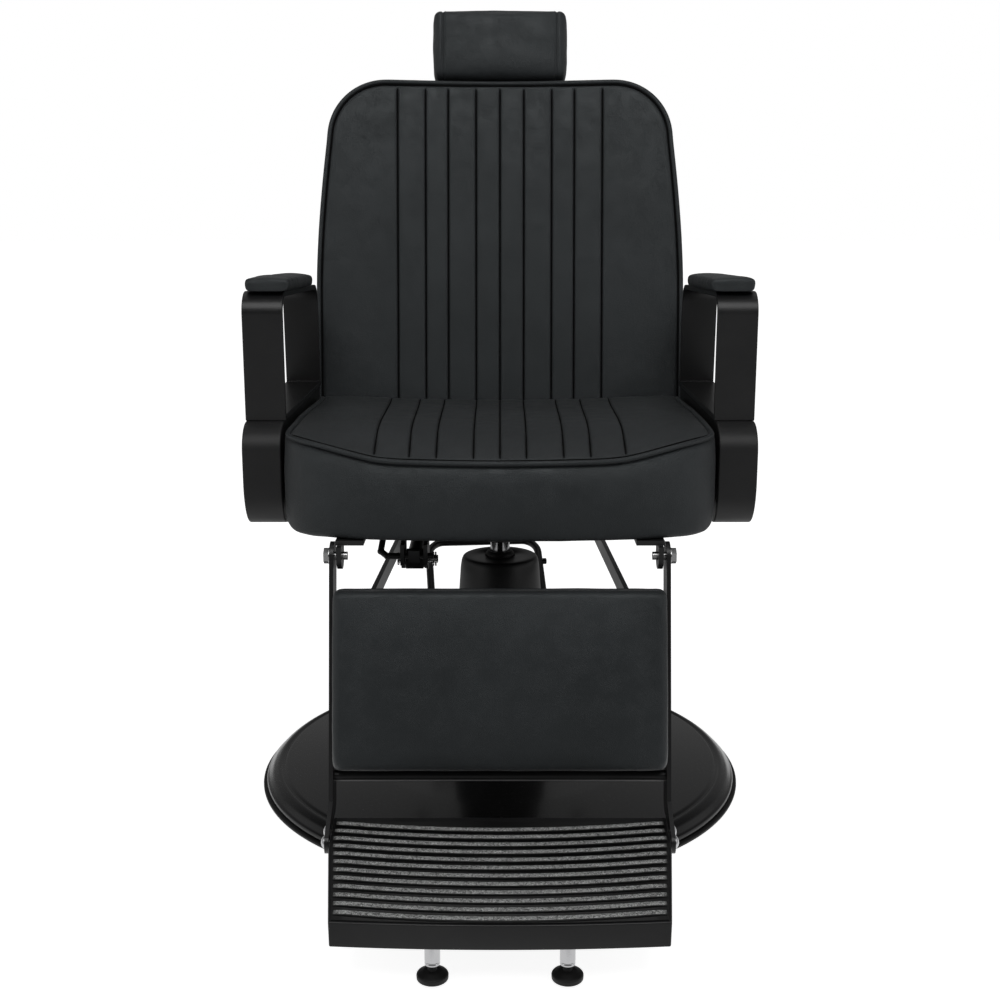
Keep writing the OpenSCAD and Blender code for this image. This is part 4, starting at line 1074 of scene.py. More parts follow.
@dataclass
class SeatCushion:
    """Seat cushion: sewn channels on top, a piped edge and a tall front."""

    half: float = 269.0
    front: float = -335.0
    rear: float = 152.0
    low: float = 443.3
    pipe_z: float = 533.0
    top_z: float = 555.0
    groove: float = 4.2
    lip: float = 9.0

    def front_y(self, u: float) -> float:
        """Front edge at u from the middle."""
        return self.front + 60.0 * (u / self.half) ** 2 + corner_arc(u, self.half, 44.0)

    def under_y(self, u: float) -> float:
        """Lower front edge at u from the middle."""
        return self.front + 42.0 * (u / self.half) ** 3 + corner_arc(u, self.half, 56.0)

    def rear_y(self, u: float) -> float:
        """Rear edge at u from the middle."""
        return self.rear - 22.0 * (u / self.half) ** 2 - corner_arc(u, self.half, 16.0)

    def pipe(self, u: float) -> float:
        """Height of the front piping at u from the middle."""
        return self.pipe_z + 20.0 * smoothstep((u - 125.0) / 135.0)

    def top(self, u: float, t: float) -> float:
        """Height of the top at u from the middle and t from front to rear.

        Args:
            u: distance from the middle.
            t: 0 at the front, 1 at the rear.

        Returns:
            The height in millimetres.
        """
        middle = self.top_z
        rear = self.top_z - 16.0 + 10.0 * (u / self.half) ** 2
        if t < 0.25:
            return self.pipe(u) + (middle - self.pipe(u)) * sind(90.0 * t / 0.25)
        return middle + (rear - middle) * smoothstep((t - 0.25) / 0.75)

    def ring(self, pair: Spot, steps: Sequence[float]) -> Ring:
        """One loop round the cushion: rear, top, front, underside.

        Args:
            pair: place across at the front and at the rear.
            steps: shares from rear to front.

        Returns:
            The loop.
        """
        xf, xr = pair
        u = abs(xf)
        f, b = self.front_y(u), self.rear_y(u)
        low = self.low + corner_arc(u, self.half, 20.0)
        cut = corner_arc(u, self.half, 13.0)
        p = self.pipe(u) - cut
        points = [(xr, b - 12.0, low), (xr, b - 4.0, low + 3.5), (xr, b, low + 12.0)]
        rear_top = self.top(abs(xr), 1.0) - cut
        for k in range(1, 6):
            points.append((xr, b + 1.0, low + 12.0 + (rear_top - 14.0 - low - 12.0) * k / 5))
        points.append((xr, b - 3.0, rear_top - 4.0))
        for t in steps:
            x = xf + (xr - xf) * t
            points.append((x, f + 5.0 + (b - 9.0 - f - 5.0) * t, self.top(min(abs(x), self.half), t) - cut))
        g, lip = self.under_y(u), low - self.lip
        lean = (g - f) / max(p - lip, 1.0)
        face = [(f + 0.6, p - 3.4), (f + 1.4, p - 6.2), (f - 1.2, p - 9.5), (f - 4.0, p - 19.0),
                (f - 6.0, p - 30.0), (f - 7.0, low + 40.0), (f - 6.8, low + 30.0), (f - 6.0, low + 20.0),
                (f - 4.6, low + 10.0), (f - 2.8, low + 1.5), (f - 0.6, lip + 4.2), (f + 2.0, lip + 1.4),
                (f + 5.4, lip + 0.2), (f + 10.0, lip), (f + 15.6, lip + 0.2), (f + 16.4, low)]
        face = [(y + lean * (p - z), z) for y, z in face]
        points.extend((xf, y, z) for y, z in face)
        for k in range(1, 8):
            y = g + 16.4 + (b - 12.0 - g - 16.4) * k / 8
            points.append((xf + (xr - xf) * k / 8, y, low))
        return points

    @staticmethod
    def _held(columns: Columns, size: int, shift: int, last_top: int) -> dict[int, float]:
        """Points that the solver holds: seams, piping, sides, ends and underside.

        Args:
            columns: the cushion's columns.
            size: points of a ring.
            shift: rings before the first column.
            last_top: last point of a ring that lies on the top.

        Returns:
            Weights by point.
        """
        held: dict[int, float] = {}
        count = len(columns.pairs)
        for k in range(-shift, count + shift):
            for j in range(size):
                inside = 0 <= k < count
                seam = inside and FIRST_TOP <= j <= last_top and columns.near[k] == 0.0
                piped = inside and j in (last_top, last_top + 1, last_top + 2)
                side_edge = k < 7 or k > count - 8
                under = j > last_top + 10 or j < 3
                if seam or piped or side_edge or under or not inside:
                    held[(k + shift) * size + j] = 1.0
        return held

    def _depths(self, columns: Columns, steps: Sequence[float], size: int, shift: int) -> dict[int, float]:
        """Depth of the sewn channels.

        Args:
            columns: the cushion's columns.
            steps: shares from rear to front.
            size: points of a ring.
            shift: rings before the first column.

        Returns:
            Depths in millimetres by point.
        """
        depths = {}
        for k in range(len(columns.pairs)):
            share = columns.groove(k)
            if share == 0.0:
                continue
            for n, t in enumerate(steps):
                fade = smoothstep(t / 0.035) * smoothstep((1.02 - t) / 0.05)
                depths[(k + shift) * size + FIRST_TOP + n] = share * self.groove * fade
        return depths

    @staticmethod
    def _lifted(path: Sequence[Point]) -> list[Point]:
        """Moves the piping's path out of the cushion and smooths it.

        Args:
            path: points on the cushion.

        Returns:
            The path of the piping.
        """
        middle = Vector((0.0, -90.0, 505.0))
        lifted = []
        for p in path:
            away = Vector(p) - middle
            away.z *= 2.0
            lifted.append(tuple(Vector(p) + away.normalized() * 1.4))
        return smooth_rounds(lifted, 6)

    def build(self) -> None:
        """Builds the cushion, its piping and the tubes of painted shade in its seams and behind the piping.
        """
        columns = Columns(self.half, (0.0, 31.5, 76.0, 108.5, 151.0), (0.0, 35.5, 84.0, 121.0, 164.0),
                          (30.0, 24.0, 18.0, 12.5, 8.0, 4.5, 2.0, 0.6, 0.0))
        steps = [1.0 - k / 44 for k in range(44)] + [0.012, 0.004, 0.0]
        steps = sorted(set(steps), reverse=True)
        rings = [self.ring(pair, steps) for pair in columns.pairs]
        caps = ((4.0, 1.2), (10.0, 2.4), (20.0, 3.2), (34.0, 3.6), (48.0, 3.6))
        last_top = FIRST_TOP + len(steps) - 1
        obj, size, shift = capped("seat_cushion_skin", rings, caps)
        puff(obj, self._held(columns, size, shift, last_top), 4.5)
        count = len(columns.pairs)
        front_row = [(k + shift) * size + last_top + 1 for k in range(4, count - 4)]
        left_side, right_side = ([column * size + FIRST_TOP + n for n in range(4, len(steps))]
                                 for column in (shift + 4, shift + count - 5))
        crease_noise(obj, 26.0, 0.55, Vector((0.6, 1.0, 1.0)), lambda p: 1.0)
        crease_noise(obj, 60.0, 0.7, Vector((2.0, 0.7, 0.5)),
                     lambda p: smoothstep((abs(p.x) - 0.16) / 0.05) * smoothstep((-0.12 - p.y) / 0.06))
        path = read_points(obj, left_side + front_row + list(reversed(right_side)))
        crease_row = [i - 1 for i in front_row]
        lower_row = [i + 1 for i in front_row]
        crease_path = read_points(obj, crease_row)
        sewn = range(FIRST_TOP, FIRST_TOP + len(steps) - 2)
        seam_paths = {k: read_points(obj, [(k + shift) * size + j for j in sewn])
                      for k in range(count) if columns.near[k] == 0.0}
        sink(obj, self._depths(columns, steps, size, shift))
        sink(obj, {i: 2.6 for i in crease_row + lower_row})
        sink(obj, {i: 1.6 for i in front_row + left_side + right_side})
        # near-black tubes in the seam grooves and in the crease behind the piping: painted shade
        lines = [sweep(f"line_{k}", [(x, y, z - 2.1) for x, y, z in smooth_rounds(line, 4)], 0.75, 8)
                 for k, line in seam_paths.items()]
        crease = [(x, y + 0.4, z - 0.9) for x, y, z in smooth_rounds(crease_path, 4)]
        lines.append(sweep("line_crease", crease, 1.1, 8))
        finish_piece(join("seat_seam_lines", lines), "seat", Slot.LEATHER, finish=PAINTED_SEAM_SHADE)
        pipe = sweep("seat_piping", self._lifted(path), 3.1, 12)
        subdivide(obj)
        finish_piece(obj, "seat", Slot.LEATHER, "seat_cushion")
        finish_piece(pipe, "seat", Slot.LEATHER)


def smooth_rounds(path: Sequence[Point], rounds: int) -> list[Point]:
    """Averages each point with its neighbours, with the ends kept.

    Args:
        path: points in order.
        rounds: how often.

    Returns:
        The smoothed points.
    """
    points = [Vector(p) for p in path]
    for _ in range(rounds):
        inner = [(a + b * 2 + c) / 4 for a, b, c in zip(points, points[1:], points[2:])]
        points = [points[0]] + inner + [points[-1]]
    return [tuple(p) for p in points]


@dataclass
class BackCushion:
    """Backrest cushion: a crowned panel with sewn channels inside a piped edge."""

    half: float = 279.0
    height: float = 566.0
    foot: float = 20.0
    corner: float = 90.0
    front: float = -28.0
    rear: float = 31.5
    wrap: float = 22.0
    roll: float = 12.0
    groove: float = 4.2

    def side(self, z: float) -> float:
        """Half width of the outline at a height.

        Args:
            z: height.

        Returns:
            The half width in millimetres.
        """
        top = self.height - self.corner
        narrow = 17.0 * (max(0.0, min(z, top) - 255.0) / (top - 255.0)) ** 1.6
        arc = self.corner - math.sqrt(max(0.0, self.corner ** 2 - max(0.0, z - top) ** 2))
        low = corner_arc(self.foot + 24.0 - min(z, self.foot + 24.0), 24.0, 24.0) * 0.8
        return self.half - narrow - arc - low

    def inside(self, x: float, z: float) -> float:
        """Distance from the outline, measured inwards.

        Args:
            x: place across.
            z: height.

        Returns:
            The distance in millimetres.
        """
        top = self.height - self.corner
        edge = self.side(min(z, top))
        over_x, over_z = abs(x) - (edge - self.corner), z - top
        if over_x > 0 and over_z > 0:
            return self.corner - math.hypot(over_x, over_z)
        return min(edge - abs(x), self.height - z, z - self.foot)

    def depth(self, x: float, z: float) -> float:
        """Front surface at a place on the panel.

        Args:
            x: place across.
            z: height.

        Returns:
            The place along Y.
        """
        d = max(0.0, self.inside(x, z))
        crown = -2.5 * smoothstep(d / 70.0)
        rolled = 0.0
        if d < self.roll:
            rolled = self.roll - math.sqrt(max(0.0, self.roll ** 2 - (self.roll - d) ** 2))
        return self.front + 2.0 - self.wrap * (x / self.half) ** 2 + crown + rolled

    def _offset(self, inset: float, proud: float) -> Ring:
        """Path inside the outline by inset, standing proud of the front surface.

        Args:
            inset: distance inwards from the outline.
            proud: how far it stands out.

        Returns:
            The path.
        """
        top = self.height - self.corner
        edge = self.side(top)
        heights = [self.foot + 2.0 + (top - self.foot - 2.0) * k / 60 for k in range(60)]
        right = [(self.side(z) - inset, z) for z in heights]
        reach = self.corner - inset
        right += [(edge - self.corner + reach * cosd(a), top + reach * sind(a))
                  for a in range(0, 91, 3)]
        span = edge - self.corner
        right += [(span * (1 - k / 30), self.height - inset) for k in range(1, 31)]
        left = [(-x, z) for x, z in reversed(right[:-1])]
        out = []
        for x, z in right + left:
            dip = 1.6 * smoothstep(1 - abs(x) / 170.0) if z > top else 0.0
            out.append((x, self.depth(x, z) - proud, z - dip * 0.5))
        return out

    def _rows(self) -> list[float]:
        """Heights of the front's rows, close together at the foot and at the top.

        Returns:
            Heights in millimetres.
        """
        top = self.height - self.corner
        rows = [self.foot + d for d in (0.0, 1.5, 4.0, 8.0, 13.0, 19.0, FOOT_BEND)]
        rows += [self.foot + FOOT_BEND + (top - self.foot - FOOT_BEND) * k / 46 for k in range(1, 47)]
        rows += [top + self.corner * sind(a) for a in range(6, 61, 6)]
        rows += [self.height - d for d in (10.0, 8.6, 7.6, 6.6, 5.6, 4.4, 3.0, 1.6, 0.5)]
        return rows + [self.height]

    def _spread(self, z: float, inner: Sequence[float]) -> list[float]:
        """Columns of one row.

        Args:
            z: height.
            inner: columns of the sewn middle.

        Returns:
            Places across.
        """
        edge, reach = self.side(z), inner[-1]
        squeeze = min(1.0, (edge - 8.0) / reach)
        out = [x * squeeze for x in inner]
        right = [reach * squeeze + (edge - reach * squeeze) * s for s in SIDE_SHARES]
        return [-x for x in reversed(right)] + out + right

    def _close(self, points: Ring, faces: list[tuple[int, ...]], height: int, width: int) -> None:
        """Wraps the front's rim round to the rear and closes the rear face.

        Args:
            points: the front's points; new ones are added.
            faces: the front's faces; new ones are added.
            height: rows of the front.
            width: columns of the front.
        """
        rim = [(0, c) for c in range(width)] + [(r, width - 1) for r in range(1, height)]
        rim += [(height - 1, c) for c in range(width - 2, -1, -1)]
        rim += [(r, 0) for r in range(height - 2, 0, -1)]
        rim_index = [r * width + c for r, c in rim]
        previous = rim_index
        for share, out in ((0.12, 0.6), (0.3, 1.0), (0.55, 1.2), (0.8, 0.8), (0.95, -0.5), (1.0, -4.0)):
            fresh = []
            for index in rim_index:
                x, y, z = points[index]
                centre = Vector((x * 0.35, 0.0, 300.0 + (z - 300.0) * 0.35))
                away = Vector((x, 0.0, z)) - centre
                away.normalize()
                fresh.append(len(points))
                low = max(self.foot, z + away.z * out)
                points.append((x + away.x * out, y + (self.rear - y) * share, low))
            for j in range(len(fresh)):
                k = (j + 1) % len(fresh)
                faces.append((previous[j], previous[k], fresh[k], fresh[j]))
            previous = fresh
        behind = dict(zip(rim_index, previous))
        for index in range(height * width):
            if index not in behind:
                x, _, z = points[index]
                behind[index] = len(points)
                points.append((x, self.rear, z))
        for quad in skin_faces(height, width, closed=False):
            faces.append(tuple(behind[i] for i in reversed(quad)))

    def _plan(self, grid: Sequence[Ring],
              seam_of: dict[int, float]) -> tuple[dict[int, float], dict[int, float]]:
        """Which points of the front the solver holds, and how deep they are sunk.

        Args:
            grid: rows of the front's points.
            seam_of: distance from the nearest seam, by sewn column.

        Returns:
            Weights and depths in millimetres, both by point.
        """
        held: dict[int, float] = {}
        depths: dict[int, float] = {}
        for r, row in enumerate(grid):
            for c, (x, _, z) in enumerate(row):
                d, seam, index = self.inside(x, z), seam_of.get(c, AWAY), r * len(row) + c
                if d < 9.0 or seam == 0.0:
                    held[index] = 1.0
                fade = smoothstep((self.height - 9.0 - z) / 9.0) * smoothstep((z - self.foot) / 20.0)
                sunk = GROOVE.get(seam, 0.0) * self.groove * fade
                ditch = 2.2 * math.exp(-((d - 7.2) / 1.6) ** 2)
                if sunk + ditch > 0.02:
                    depths[index] = sunk + ditch
        return held, depths

    def _seam_lines(self, obj: bpy.types.Object, rows: Sequence[float], width: int,
                    seam_of: dict[int, float]) -> list[bpy.types.Object]:
        """Dark tubes of painted shade at the bottom of the sewn channels.

        Args:
            obj: the cushion.
            rows: heights of the front's rows.
            width: columns of the front.
            seam_of: distance from the nearest seam, by sewn column.

        Returns:
            One tube for each seam.
        """
        inward = BACK.to_3x3() @ Vector((0.0, 1.0, 0.0))
        usable = [r for r, z in enumerate(rows) if z < self.height - 7.0]
        lines = []
        for c in range(width):
            if seam_of.get(c, AWAY) == 0.0:
                line = read_points(obj, [r * width + c for r in usable])
                sunken = [tuple(Vector(p) + inward * 2.1) for p in smooth_rounds(line, 3)]
                lines.append(sweep(f"line_{c}", sunken, 0.75, 8))
        return lines

    def build(self) -> None:
        """Builds the cushion, its piping, the tubes of painted shade in its seams and the dark tube of
        painted shade in the crease beside it.
        """
        seams, sewn_half = (0.0, 36.5, 79.0, 113.5, 156.0), 163.0
        columns = Columns(self.half, seams, seams, (40.0, 0.0))
        inner = [pair[0] for pair in columns.pairs if abs(pair[0]) < sewn_half]
        near = [n for pair, n in zip(columns.pairs, columns.near) if abs(pair[0]) < sewn_half]
        rows = self._rows()
        grid = [[(x, self.depth(x, z), z) for x in self._spread(z, inner)] for z in rows]
        width = len(grid[0])
        points = [p for row in grid for p in row]
        faces = skin_faces(len(rows), width, closed=False)
        self._close(points, faces, len(rows), width)
        obj = mesh_object("back_cushion_skin", points, faces, BACK)
        seam_of = dict(enumerate(near, len(SIDE_SHARES)))
        held, depths = self._plan(grid, seam_of)
        held.update({index: 1.0 for index in range(len(rows) * width, len(points))})
        puff(obj, held, 4.5)
        crease_noise(obj, 22.0, 0.6, Vector((0.8, 0.8, 0.7)), lambda p: 1.0)
        lines = self._seam_lines(obj, rows, width, seam_of)
        sink(obj, depths)
        pipe_path = self._offset(2.6, 1.6)
        pipe = sweep("back_piping", smooth_rounds(pipe_path, 3), 3.3, 12, place=BACK)
        # near-black tube of painted shade in the crease inside the piping
        lines.append(sweep("line_crease", smooth_rounds(self._offset(7.0, -0.7), 3), 1.25, 8, place=BACK))
        finish_piece(join("back_seam_lines", lines), "back", Slot.LEATHER, finish=PAINTED_SEAM_SHADE)
        rear_path = [(x * 0.995, self.rear - 2.0, z) for x, _, z in pipe_path]
        rear_pipe = sweep("back_rear_piping", smooth_rounds(rear_path, 3), 2.8, 10, place=BACK)
        subdivide(obj)
        finish_piece(obj, "back", Slot.LEATHER, "back_cushion")
        finish_piece(pipe, "back", Slot.LEATHER)
        finish_piece(rear_pipe, "back", Slot.LEATHER)


@dataclass
class Headrest:
    """Headrest cushion with stitched side gussets."""

    half: float = 101.0
    height: float = 101.0
    base: float = 570.0
    front: float = -30.0
    rear: float = 27.7
    seam_x: float = 87.0

    def ring(self, x: float) -> Ring:
        """One loop round the cushion at x.

        Args:
            x: place across.

        Returns:
            The loop.
        """
        u = abs(x)
        s = corner_arc(u, self.half, 10.0)
        f = self.front + s - 3.0 * (1 - (u / self.half) ** 4)
        b = self.rear - s * 0.6
        lo, hi = self.base + s * 0.8, self.base + self.height - s * 0.8
        anchors = [(x, b - 8, lo), (x, b - 1, lo + 2), (x, b, lo + 9), (x, b, (lo + hi) / 2), (x, b, hi - 9),
                   (x, b - 1, hi - 2), (x, b - 8, hi), (x, (b + f) / 2, hi + 1.2), (x, f + 13, hi + 1.0),
                   (x, f + 4.5, hi - 1.6), (x, f + 0.6, hi - 8), (x, f - 1, hi - 34), (x, f, (hi + lo) / 2),
                   (x, f + 1, lo + 24), (x, f + 5, lo + 8), (x, f + 14, lo + 1), (x, (b + f) / 2, lo - 0.4),
                   (x, b - 8, lo)]
        return smooth_path(anchors, 4)[:-1]

    def build(self) -> None:
        """Builds the cushion, the gusset seams and their stitches."""
        side = [8.0 * k for k in range(8)]
        side += [63.0, 70.0, 76.0, 80.0, 83.0, 85.0, 86.2, 87.0, 87.8, 89.0, 91.0]
        side += [93.5, 95.8, 97.8, 99.4, 100.5, 101.0]
        xs = [-x for x in reversed(side[1:])] + side
        rings = [self.ring(x) for x in xs]
        caps = ((3.0, 0.8), (8.0, 1.5), (16.0, 2.0), (24.0, 2.2))
        obj, size, shift = capped("headrest_skin", rings, caps, BACK)
        seam_columns = [k for k, x in enumerate(xs) if abs(abs(x) - self.seam_x) < 0.1]
        held = {}
        for k, x in enumerate(xs):
            for j in range(size):
                if k in seam_columns or 3 <= j <= 20:
                    held[(k + shift) * size + j] = 1.0
        puff(obj, held, 3.0)
        shares = {87.0: 1.0, 86.2: 0.6, 87.8: 0.6, 85.0: 0.12, 89.0: 0.12}
        depths = {}
        for k, x in enumerate(xs):
            share = shares.get(round(abs(x), 1), 0.0)
            for j in range(size):
                if share:
                    depths[(k + shift) * size + j] = share * 1.7
        crease_noise(obj, 40.0, 0.45, Vector((0.8, 1.0, 1.0)), lambda p: 1.0)
        outside = {k: read_points(obj, [(k + shift) * size + j for j in range(28, 62)])
                   for k, x in enumerate(xs) if round(abs(x), 1) == 83.0}
        sink(obj, depths)
        threads = [stitches(f"headrest_thread_{n}", path, lambda p: p - Vector((p.x, 285.0, 1015.0)))
                   for n, path in enumerate(outside.values())]
        thread = join("headrest_stitches", threads)
        subdivide(obj)
        finish_piece(obj, "headrest", Slot.LEATHER, "headrest_cushion")
        finish_piece(thread, "headrest", Slot.LEATHER)


@dataclass
class CalfPad:
    """Calf pad of the leg rest: a plain pillowed panel."""

    half: float = 198.4
    drop: float = 40.0
    height: float = 213.0
    thick: float = 32.0
    rear: float = -10.3

    def ring(self, x: float) -> Ring:
        """One loop round the pad at x.

        Args:
            x: place across.

        Returns:
            The loop.
        """
        u = abs(x)
        s = corner_arc(u, self.half, 10.0)
        f = self.rear - self.thick + s - 5.0 * (1 - (u / self.half) ** 4)
        hi, lo = -self.drop - s * 0.7, -self.drop - self.height + s * 0.7
        b = self.rear
        anchors = [(x, b, lo + 4), (x, b, lo + 60), (x, b, hi - 60), (x, b, hi - 4), (x, b - 5, hi),
                   (x, f + 12, hi), (x, f + 3, hi - 3), (x, f, hi - 11), (x, f - 1.6, hi - 34),
                   (x, f - 2.4, hi - 64), (x, f - 2.6, (hi + lo) / 2), (x, f - 2.4, lo + 64),
                   (x, f - 1.6, lo + 34), (x, f, lo + 16), (x, f + 4, lo + 4), (x, f + 12, lo),
                   (x, b - 5, lo), (x, b, lo + 4)]
        return smooth_path(anchors, 4)[:-1]

    def _soften(self, p: Vector) -> float:
        """Lets the pad swell in the middle and keeps its rim.

        Args:
            p: a point in metres.

        Returns:
            The share of the swelling that is kept.
        """
        local = LEG.inverted() @ (p / MM)
        rim = (self.half - abs(local.x)) / 60.0
        end = min(-self.drop - local.z, local.z + self.drop + self.height) / 60.0
        return smoothstep(rim) * smoothstep(end)

    def build(self) -> None:
        """Builds the pad and its soft rim."""
        side = [k * 9.5 for k in range(19)] + [179.0, 184.6, 188.9, 192.0, 194.4, 196.2, 197.4, 198.1, 198.4]
        xs = [-x for x in reversed(side[1:])] + side
        rings = [self.ring(x) for x in xs]
        caps = ((3.0, 0.3), (8.0, 0.5), (13.0, 0.5))
        obj, size, shift = capped("calf_pad_skin", rings, caps, LEG)
        held = {(k + shift) * size + j: 1.0 for k in range(len(xs)) for j in range(size) if j <= 14}
        for k in (0, 1, len(xs) - 2, len(xs) - 1):
            for j in range(size):
                held[(k + shift) * size + j] = 1.0
        puff(obj, held, 2.2, self._soften)
        crease_noise(obj, 18.0, 0.7, Vector((0.8, 1.0, 1.0)), lambda p: 1.0)

        def corners(p: Vector) -> float:
            """1 near the pad's four corners."""
            return smoothstep((abs(p.x) - 0.165) / 0.02) * smoothstep((abs(p.z - 0.25) - 0.05) / 0.03)

        crease_noise(obj, 55.0, 0.5, Vector((1.6, 1.0, 0.5)), corners)
        subdivide(obj)
        finish_piece(obj, "leg_rest", Slot.LEATHER, "calf_pad")


@dataclass
class ArmPad:
    """Padded top of one arm, lightly wrinkled across."""

    side: int
    out: float = 322.0
    strap: float = 49.0
    length: float = 222.0
    width: float = 56.0
    thick: float = 17.0
    inward: float = 7.0
    over: float = 22.0
    front: float = -208.0
    rear: float = 128.0
    top_z: float = 722.0
    fall: float = 8.0
    corner: float = 28.0
    gap: float = 0.3

    def build(self) -> None:
        """Builds the pad."""
        name = "left" if self.side < 0 else "right"
        slope = math.degrees(math.atan2(self.fall, self.rear - self.front - 2 * self.corner))
        middle = self.out - self.strap / 2 - self.inward
        rise = self.over * math.tan(math.radians(slope))
        start = Matrix.Translation((0.0, self.front + self.corner - self.over, self.top_z + rise + self.gap))
        place = start @ Matrix.Rotation(math.radians(-slope), 4, "X")
        ends = [(0.0, 5.4, 0.62), (0.4, 3.4, 0.76), (1.4, 1.8, 0.88), (3.2, 0.7, 0.95), (7.0, 0.1, 0.99),
                (15.0, 0.0, 1.0)]
        stations = list(ends)
        stations += [(15.0 + (self.length - 30.0) * k / 44, 0.0, 1.0) for k in range(1, 44)]
        stations += [(self.length - y, cut, s) for y, cut, s in reversed(ends)]
        rings = []
        for y, cut, s in stations:
            w, t = self.width / 2 - cut, self.thick * s
            anchors = [(0.0, 0.0), (w - 12, 0.0), (w - 4, 0.0), (w - 0.6, 2.0), (w, 6.0), (w + 0.4, t * 0.6),
                       (w - 0.5, t * 0.82), (w - 3, t * 0.96), (w * 0.5, t), (0.0, t + 0.6)]
            outline = anchors + [(-x, z) for x, z in reversed(anchors[1:-1])]
            rings.append([(self.side * middle + x, y, z) for x, z in outline])
        obj = loft(f"arm_pad_{name}_skin", rings, place)
        size = len(rings[0])
        flat = {k: 1.0 for k in range(len(rings) * size) if k % size in (0, 1, 2, 3, 15, 16, 17)}
        puff(obj, flat, 1.2)
        crease_noise(obj, 34.0, 1.3, Vector((0.35, 1.6, 1.0)), lambda p: smoothstep((p.z - 0.730) / 0.006))
        crease_noise(obj, 90.0, 0.5, Vector((0.5, 1.4, 1.0)), lambda p: smoothstep((p.z - 0.728) / 0.006))
        subdivide(obj)
        finish_piece(obj, "seat", Slot.LEATHER, f"arm_pad_{name}")


# ---------------------------------------------------------------- hard pieces


@dataclass
class BaseGroup:
    """Round base, pump cover, collar, piston rod and the foot lever."""

    groove_r: float = 321.0
    ring_h: float = 5.0
    rim_z: float = 27.0
    top_z: float = 43.0
    cover_z: float = 332.0

    def build(self) -> None:
        """Builds every turned piece of the base and the lever's bent rod."""
        self._plate()
        self._ring()
        self._cover()
        self._rod()
        self._lever()

    def _plate(self) -> None:
        """Builds the pressed plate."""
        g, z = self.groove_r, self.rim_z
        upper = [(81.0, self.top_z), (201.0, z + 9.9), (g - 4, z), (g - 0.5, z - 3.4), (g + 3.5, z - 0.6),
                 (328.0, z - 1.4), (335.0, z - 6.0), (341.5, 13.6), (344.2, 11.4), (345.0, 9.0),
                 (345.0, self.ring_h)]
        lower = [(341.0, self.ring_h), (341.0, 9.5), (331.0, z - 9.0), (g - 6, z - 5.0), (201.0, z + 5.5),
                 (81.0, self.top_z - 4.0)]
        profile = rounded([(0.0, self.top_z)] + upper, 3.0, 5)
        profile += rounded(lower + [(0.0, self.top_z - 4.0)], 1.0, 2)
        obj = lathe("base_plate_shell", profile, sides=192)
        finish_piece(obj, "base", Slot.GLOSS, "base_plate")

    def _ring(self) -> None:
        """Builds the rubber ring."""
        profile = rounded([(326.0, 2.5), (326.0, 0.4), (327.0, 0.0), (349.0, 0.0), (350.0, 1.2),
                           (350.0, 3.8), (348.6, 5.0), (327.0, 5.0), (326.0, 4.6), (326.0, 2.5)], 0.6, 3)
        obj = lathe("base_edge_ring", profile, sides=192)
        finish_piece(obj, "base", Slot.RUBBER, "edge_ring")

    def _cover(self) -> None:
        """Builds the cover and its collar."""
        z = self.cover_z
        outer = rounded([(21.8, z), (50.0, z), (53.4, z - 1.4), (55.4, z - 6.0), (57.0, z - 16.0),
                         (74.6, 57.0), (75.0, 53.0)], 5.0, 6)
        inner = [(72.0, 53.0), (53.5, z - 10.0), (50.5, z - 3.0), (21.8, z - 3.0), (21.8, z)]
        obj = lathe("pump_cover_shell", outer + inner, sides=128)
        finish_piece(obj, "base", Slot.COVER, "pump_cover")
        collar = rounded([(14.1, z - 7.0), (20.4, z - 7.0), (20.4, z + 3.0), (17.6, z + 7.0), (14.1, z + 7.0),
                          (14.1, z - 7.0)], 1.0, 3)
        finish_piece(lathe("pump_collar", collar, sides=64), "base", Slot.RUBBER, "rod_seal")

    def _rod(self) -> None:
        """Builds the piston rod."""
        profile = [(0.0, 75.0), (14.0, 75.0), (14.0, 394.0), (12.2, 395.9), (0.0, 396.0)]
        obj = lathe("piston_rod_turned", profile, sides=64)
        bevel(obj, 0.2, 1)
        finish_piece(obj, "piston", Slot.CHROME, "piston_rod")

    def _lever(self) -> None:
        """Builds the bent lever with its bosses and stubs."""
        root = Vector((0.0, 30.0, 89.0))
        reach = Vector((0.0, 260.0, 190.0))
        along = reach.normalized()
        corner, half = 26.0, 90.5
        elbow = root + reach - along * corner
        right = [root + Vector((half, 0, 0)) + along * s for s in (6.0, 60.0, 130.0, 200.0, 260.0)]
        right += [elbow + Vector((half - corner + corner * cosd(a), 0, 0)) + along * (corner * sind(a))
                  for a in range(0, 91, 9)]
        left = [Vector((-p.x, p.y, p.z)) for p in reversed(right)]
        rod = sweep("pump_lever_rod", [tuple(p) for p in right + left], 6.0, 20, place=LEVER)
        parts = [rod]
        boss_line = rounded([(7.0, -7.0), (12.0, -7.0), (12.0, 7.0), (7.0, 7.0)], 1.0, 3) + [(7.0, -7.0)]
        stub_line = rounded([(0.0, -4.0), (5.0, -4.0), (5.0, 6.5), (0.0, 6.5)], 1.4, 4)
        for sign in (-1, 1):
            boss = Matrix.Translation((sign * half, root.y, root.z)) @ Matrix.Rotation(math.pi / 2, 4, "Y")
            parts.append(lathe("boss", boss_line, LEVER @ boss, 48))
            spot = root + reach * 0.86
            stub = Matrix.Translation((sign * 96.0, spot.y, spot.z))
            stub = stub @ Matrix.Rotation(sign * math.pi / 2, 4, "Y")
            parts.append(lathe("stub", stub_line, LEVER @ stub, 32))
        obj = join("pump_lever_bent", parts)
        finish_piece(obj, "pump_lever", Slot.SATIN, "pump_lever")


